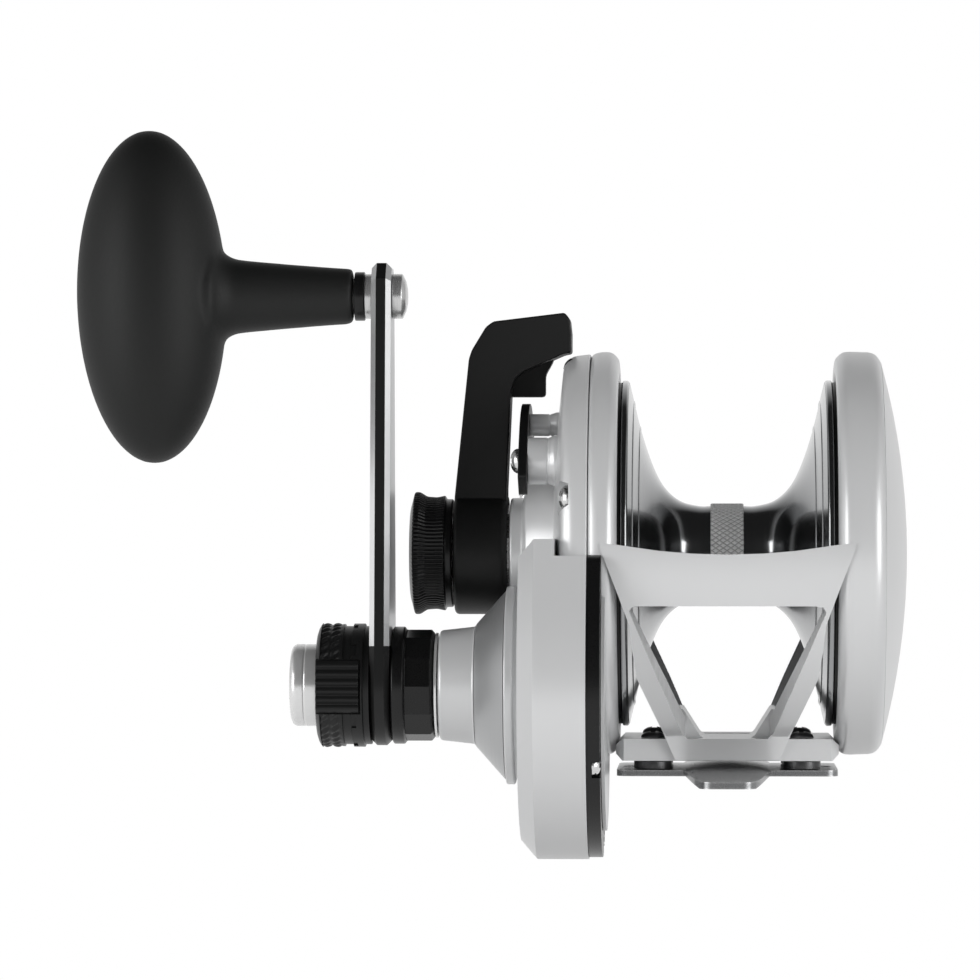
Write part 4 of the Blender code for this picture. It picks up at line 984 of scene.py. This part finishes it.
button = soften(
    [
        (-85.7, 0), (-85.65, 5.2), (-85.45, 7.0), (-85.1, 7.7), (-84.5, 8.05), (-82.9, 8.05), (-82.8, 7.95),
        (-82.6, 7.95), (-82.5, 8.05), (-79.0, 8.05), (-79.0, 4.6), (-83.0, 4.6), (-83.0, 0),
    ],
    0.3,
    False,
)
piece("shift_button_cap", lathe(button, HANDLE, 128), BRIGHT, "shift_button")
post = soften(
    [
        (-62.6, 0), (-62.7, 1.6), (-63.0, 3.0), (-63.7, 4.4), (-65.6, 4.4), (-65.6, 2.4), (-107.0, 2.4),
        (-107.0, 0),
    ],
    0.2,
    False,
)
piece("knob_post_rivet", lathe(post, KNOB, 96), BRIGHT_POST, "knob_post")
piece(
    "knob_bushing_ring",
    lathe(soften([(-71.0, 2.5), (-71.0, 4.4), (-69.7, 4.4), (-69.7, 2.5)], 0.15), KNOB, 96),
    BRIGHT_POST,
    "knob_bushing",
)
piece(
    "knob_washer_ring",
    lathe(soften([(-73.05, 2.5), (-73.05, 4.8), (-71.1, 4.8), (-71.1, 2.5)], 0.25), KNOB, 96),
    BLACK_SHINY,
    "knob_washer",
)

# Grip: egg and stem fused and smoothed
shape = bmesh.new()
bmesh.ops.create_uvsphere(shape, u_segments=96, v_segments=64, radius=1)
egg_mesh = bpy.data.meshes.new("egg")
shape.to_mesh(egg_mesh)
shape.free()
size = Matrix.Diagonal([14.74 * MM, 15.5 * MM, 32.8 * MM, 1])
centre = Matrix.Translation(Vector((GRIP_X, HANDLE_Y, KNOB_Z)) * MM)
egg_mesh.transform(centre @ Matrix.Rotation(math.radians(-1.2), 4, "Y") @ size)
stem = flowing(
    [(-100.6, 10.6), (-99.4, 9.0), (-97.4, 7.7), (-95.4, 7.2), (-88.0, 6.5), (-80.0, 5.85), (-73.4, 5.4)],
    5,
)
grip = carved(egg_mesh, (JOIN, lathe([(GRIP_X, 0), (GRIP_X, 10.8)] + stem + [(-73.4, 0)], KNOB, 96)))
grip_piece = piece("grip_handle", grip, RUBBER, "grip_knob")
grip_piece.modifiers.clear()
remesh = grip_piece.modifiers.new("remesh", "REMESH")
remesh.mode = "VOXEL"
remesh.voxel_size = 0.0006
remesh.use_smooth_shade = True
smooth = grip_piece.modifiers.new("smooth", "SMOOTH")
smooth.factor = 0.5
smooth.iterations = 8

# Foot: lug plate with slots, arched blade, spacers and bolts
lug = soften([(21.7, 17.0), (-21.7, 17.0), (-21.7, -17.0), (21.7, -17.0)], 3.0, count=8)
slots = []
for s in (1, -1):
    slots.append([(s * x, y) for x, y in hull(circle(2.5, 32, (13.4, 0)) + circle(2.5, 32, (18.2, 0)))])
bolt_holes = [circle(1.7, 24, (sx * BOLT_X, sy * BOLT_Y)) for sx in (1, -1) for sy in (1, -1)]
blade_plan = [
    (8.6, -22), (8.6, 22), (6.2, 38), (4.7, 42), (-4.7, 42), (-6.2, 38), (-8.6, 22), (-8.6, -22),
    (-6.2, -38), (-4.7, -42), (4.7, -42), (6.2, -38),
]
side_line = [(-43, -1), (-43, 1.25), (-16, 3.3), (16, 3.3), (43, 1.25), (43, -1)]
arch = [(-5.2, -0.1), (-8.9, 2.1)]
arch += [(x, 3.3 - 0.9 * (x / 8.6) ** 2) for x in [i * 0.75 for i in range(-12, 13)]]
arch += [(8.9, 2.1), (5.2, -0.1)]
blade = carved(
    slab([soften(blade_plan, 2.0)], 0, 6, "Z"),
    (MEET, slab([side_line], -30, 30, "X")),
    (MEET, slab([arch], -60, 60, "Y")),
)
foot = carved(slab([lug, *slots, *bolt_holes], 1.3, 2.5, "Z"), (JOIN, blade))
piece("foot_casting", foot, GUNMETAL, "reel_foot", bevel=0.3, segments=2)
for n, (sx, sy) in enumerate(((-1, -1), (1, -1), (-1, 1), (1, 1))):
    spot = (sx * BOLT_X, sy * BOLT_Y, 0)
    ring = soften([(2.6, 1.6), (2.6, 3.75), (4.2, 3.75), (4.2, 1.6)], 0.2)
    piece(f"foot_spacer_ring_{n + 1}", lathe(ring, spot, 64, "Z"), BOLT, f"foot_spacer_{n + 1}")
    screw(f"foot_bolt_head_{n + 1}", f"foot_bolt_{n + 1}", 8.7, 1, spot, 2.4, 1.3, "Z", BOLT)

# Camera, lights and backdrop
camera_data = bpy.data.cameras.new("camera")
camera_data.sensor_width = 36
camera_data.lens = 184
camera_data.clip_start = 0.01
camera_data.clip_end = 20
camera = bpy.data.objects.new("camera", camera_data)
bpy.context.scene.collection.objects.link(camera)
eye = Vector((-3.1, -1000, 47.6)) * MM
target = Vector((-47.3, 0, 57.6)) * MM
camera.location = eye
camera.rotation_euler = (target - eye).to_track_quat("-Z", "Y").to_euler()
bpy.context.scene.camera = camera


def lamp(name, spot, aim, size, power):
    data = bpy.data.lights.new(name, "AREA")
    data.shape = "RECTANGLE"
    data.size, data.size_y = size
    data.energy = power
    obj = bpy.data.objects.new(name, data)
    obj.location = spot
    obj.rotation_euler = (Vector(aim) - Vector(spot)).to_track_quat("-Z", "Y").to_euler()
    bpy.context.scene.collection.objects.link(obj)


middle = (-0.045, 0, 0.045)
lamp("side_left", (-1.0, -0.75, 0.08), middle, LAMP_SIZE, LAMP_POWER)
lamp("side_right", (0.95, -0.75, 0.08), middle, LAMP_SIZE, LAMP_POWER)

world = bpy.data.worlds.new("studio")
bpy.context.scene.world = world
world.use_nodes = True
tree = world.node_tree
sky = tree.nodes["Background"]
rays = add(tree, "ShaderNodeLightPath")
seen = add(
    tree,
    "ShaderNodeMath",
    {0: rays.outputs["Is Camera Ray"], 1: rays.outputs["Is Transmission Ray"]},
    operation="MAXIMUM",
)
direction = add(tree, "ShaderNodeSeparateXYZ", {0: add(tree, "ShaderNodeTexCoord").outputs["Generated"]})
behind = add(tree, "ShaderNodeMapRange", {0: direction.outputs["Y"], 1: 0.45, 2: 0.95, 3: 0.03, 4: 1.0})
gleam = add(tree, "ShaderNodeMix", {"Factor": rays.outputs["Is Glossy Ray"]}, data_type="FLOAT")
numbers = [s for s in gleam.inputs if s.type == "VALUE"]
ahead = add(tree, "ShaderNodeMapRange", {0: direction.outputs["Y"], 1: -0.05, 2: -0.9, 3: 0.08, 4: 1.65})
overhead = add(tree, "ShaderNodeMapRange", {0: direction.outputs["Z"], 1: 0.0, 2: 0.6, 3: 1.0, 4: 0.1})
soft_front = add(
    tree,
    "ShaderNodeMath",
    {0: ahead.outputs[0], 1: overhead.outputs[0]},
    operation="MULTIPLY",
)
tree.links.new(soft_front.outputs[0], numbers[1])
aside = add(tree, "ShaderNodeMath", {0: direction.outputs["X"]}, operation="ABSOLUTE")
panels = add(tree, "ShaderNodeMapRange", {0: aside.outputs[0], 1: 0.55, 2: 0.97, 3: 0.0, 4: 0.85})
around = add(tree, "ShaderNodeMath", {0: behind.outputs[0], 1: panels.outputs[0]}, operation="MAXIMUM")
tree.links.new(around.outputs[0], numbers[2])
level = add(tree, "ShaderNodeMix", {"Factor": seen.outputs[0]}, data_type="FLOAT")
numbers = [s for s in level.inputs if s.type == "VALUE"]
tree.links.new([s for s in gleam.outputs if s.type == "VALUE"][0], numbers[1])
numbers[2].default_value = 1.0
sky.inputs["Color"].default_value = (1, 1, 1, 1)
tree.links.new([s for s in level.outputs if s.type == "VALUE"][0], sky.inputs["Strength"])

floor_mesh = bpy.data.meshes.new("floor")
floor_corners = [(x * FLOOR_HALF, y * FLOOR_HALF, FLOOR_Z) for x, y in ((-1, -1), (1, -1), (1, 1), (-1, 1))]
floor_mesh.from_pydata(floor_corners, [], [(0, 1, 2, 3)])
floor = bpy.data.objects.new("floor", floor_mesh)
bpy.context.scene.collection.objects.link(floor)
pale = bpy.data.materials.new("pale_floor")
pale.use_nodes = True
tree = pale.node_tree
shader = tree.nodes["Principled BSDF"]
shader.inputs["Base Color"].default_value = (0.6, 0.6, 0.6, 1)
shader.inputs["Roughness"].default_value = 0.9
rays = add(tree, "ShaderNodeLightPath")
seen = add(
    tree,
    "ShaderNodeMath",
    {0: rays.outputs["Is Camera Ray"], 1: rays.outputs["Is Transmission Ray"]},
    operation="MAXIMUM",
)
seen = add(
    tree,
    "ShaderNodeMath",
    {0: seen.outputs[0], 1: rays.outputs["Is Glossy Ray"]},
    operation="MAXIMUM",
)
glow = add(tree, "ShaderNodeEmission", {"Color": (1, 1, 1, 1), "Strength": 1.0})
mixed = add(tree, "ShaderNodeMixShader", {0: seen.outputs[0], 1: shader.outputs[0], 2: glow.outputs[0]})
tree.links.new(mixed.outputs[0], tree.nodes["Material Output"].inputs["Surface"])
floor_mesh.materials.append(pale)

bpy.context.scene.view_settings.view_transform = "Standard"
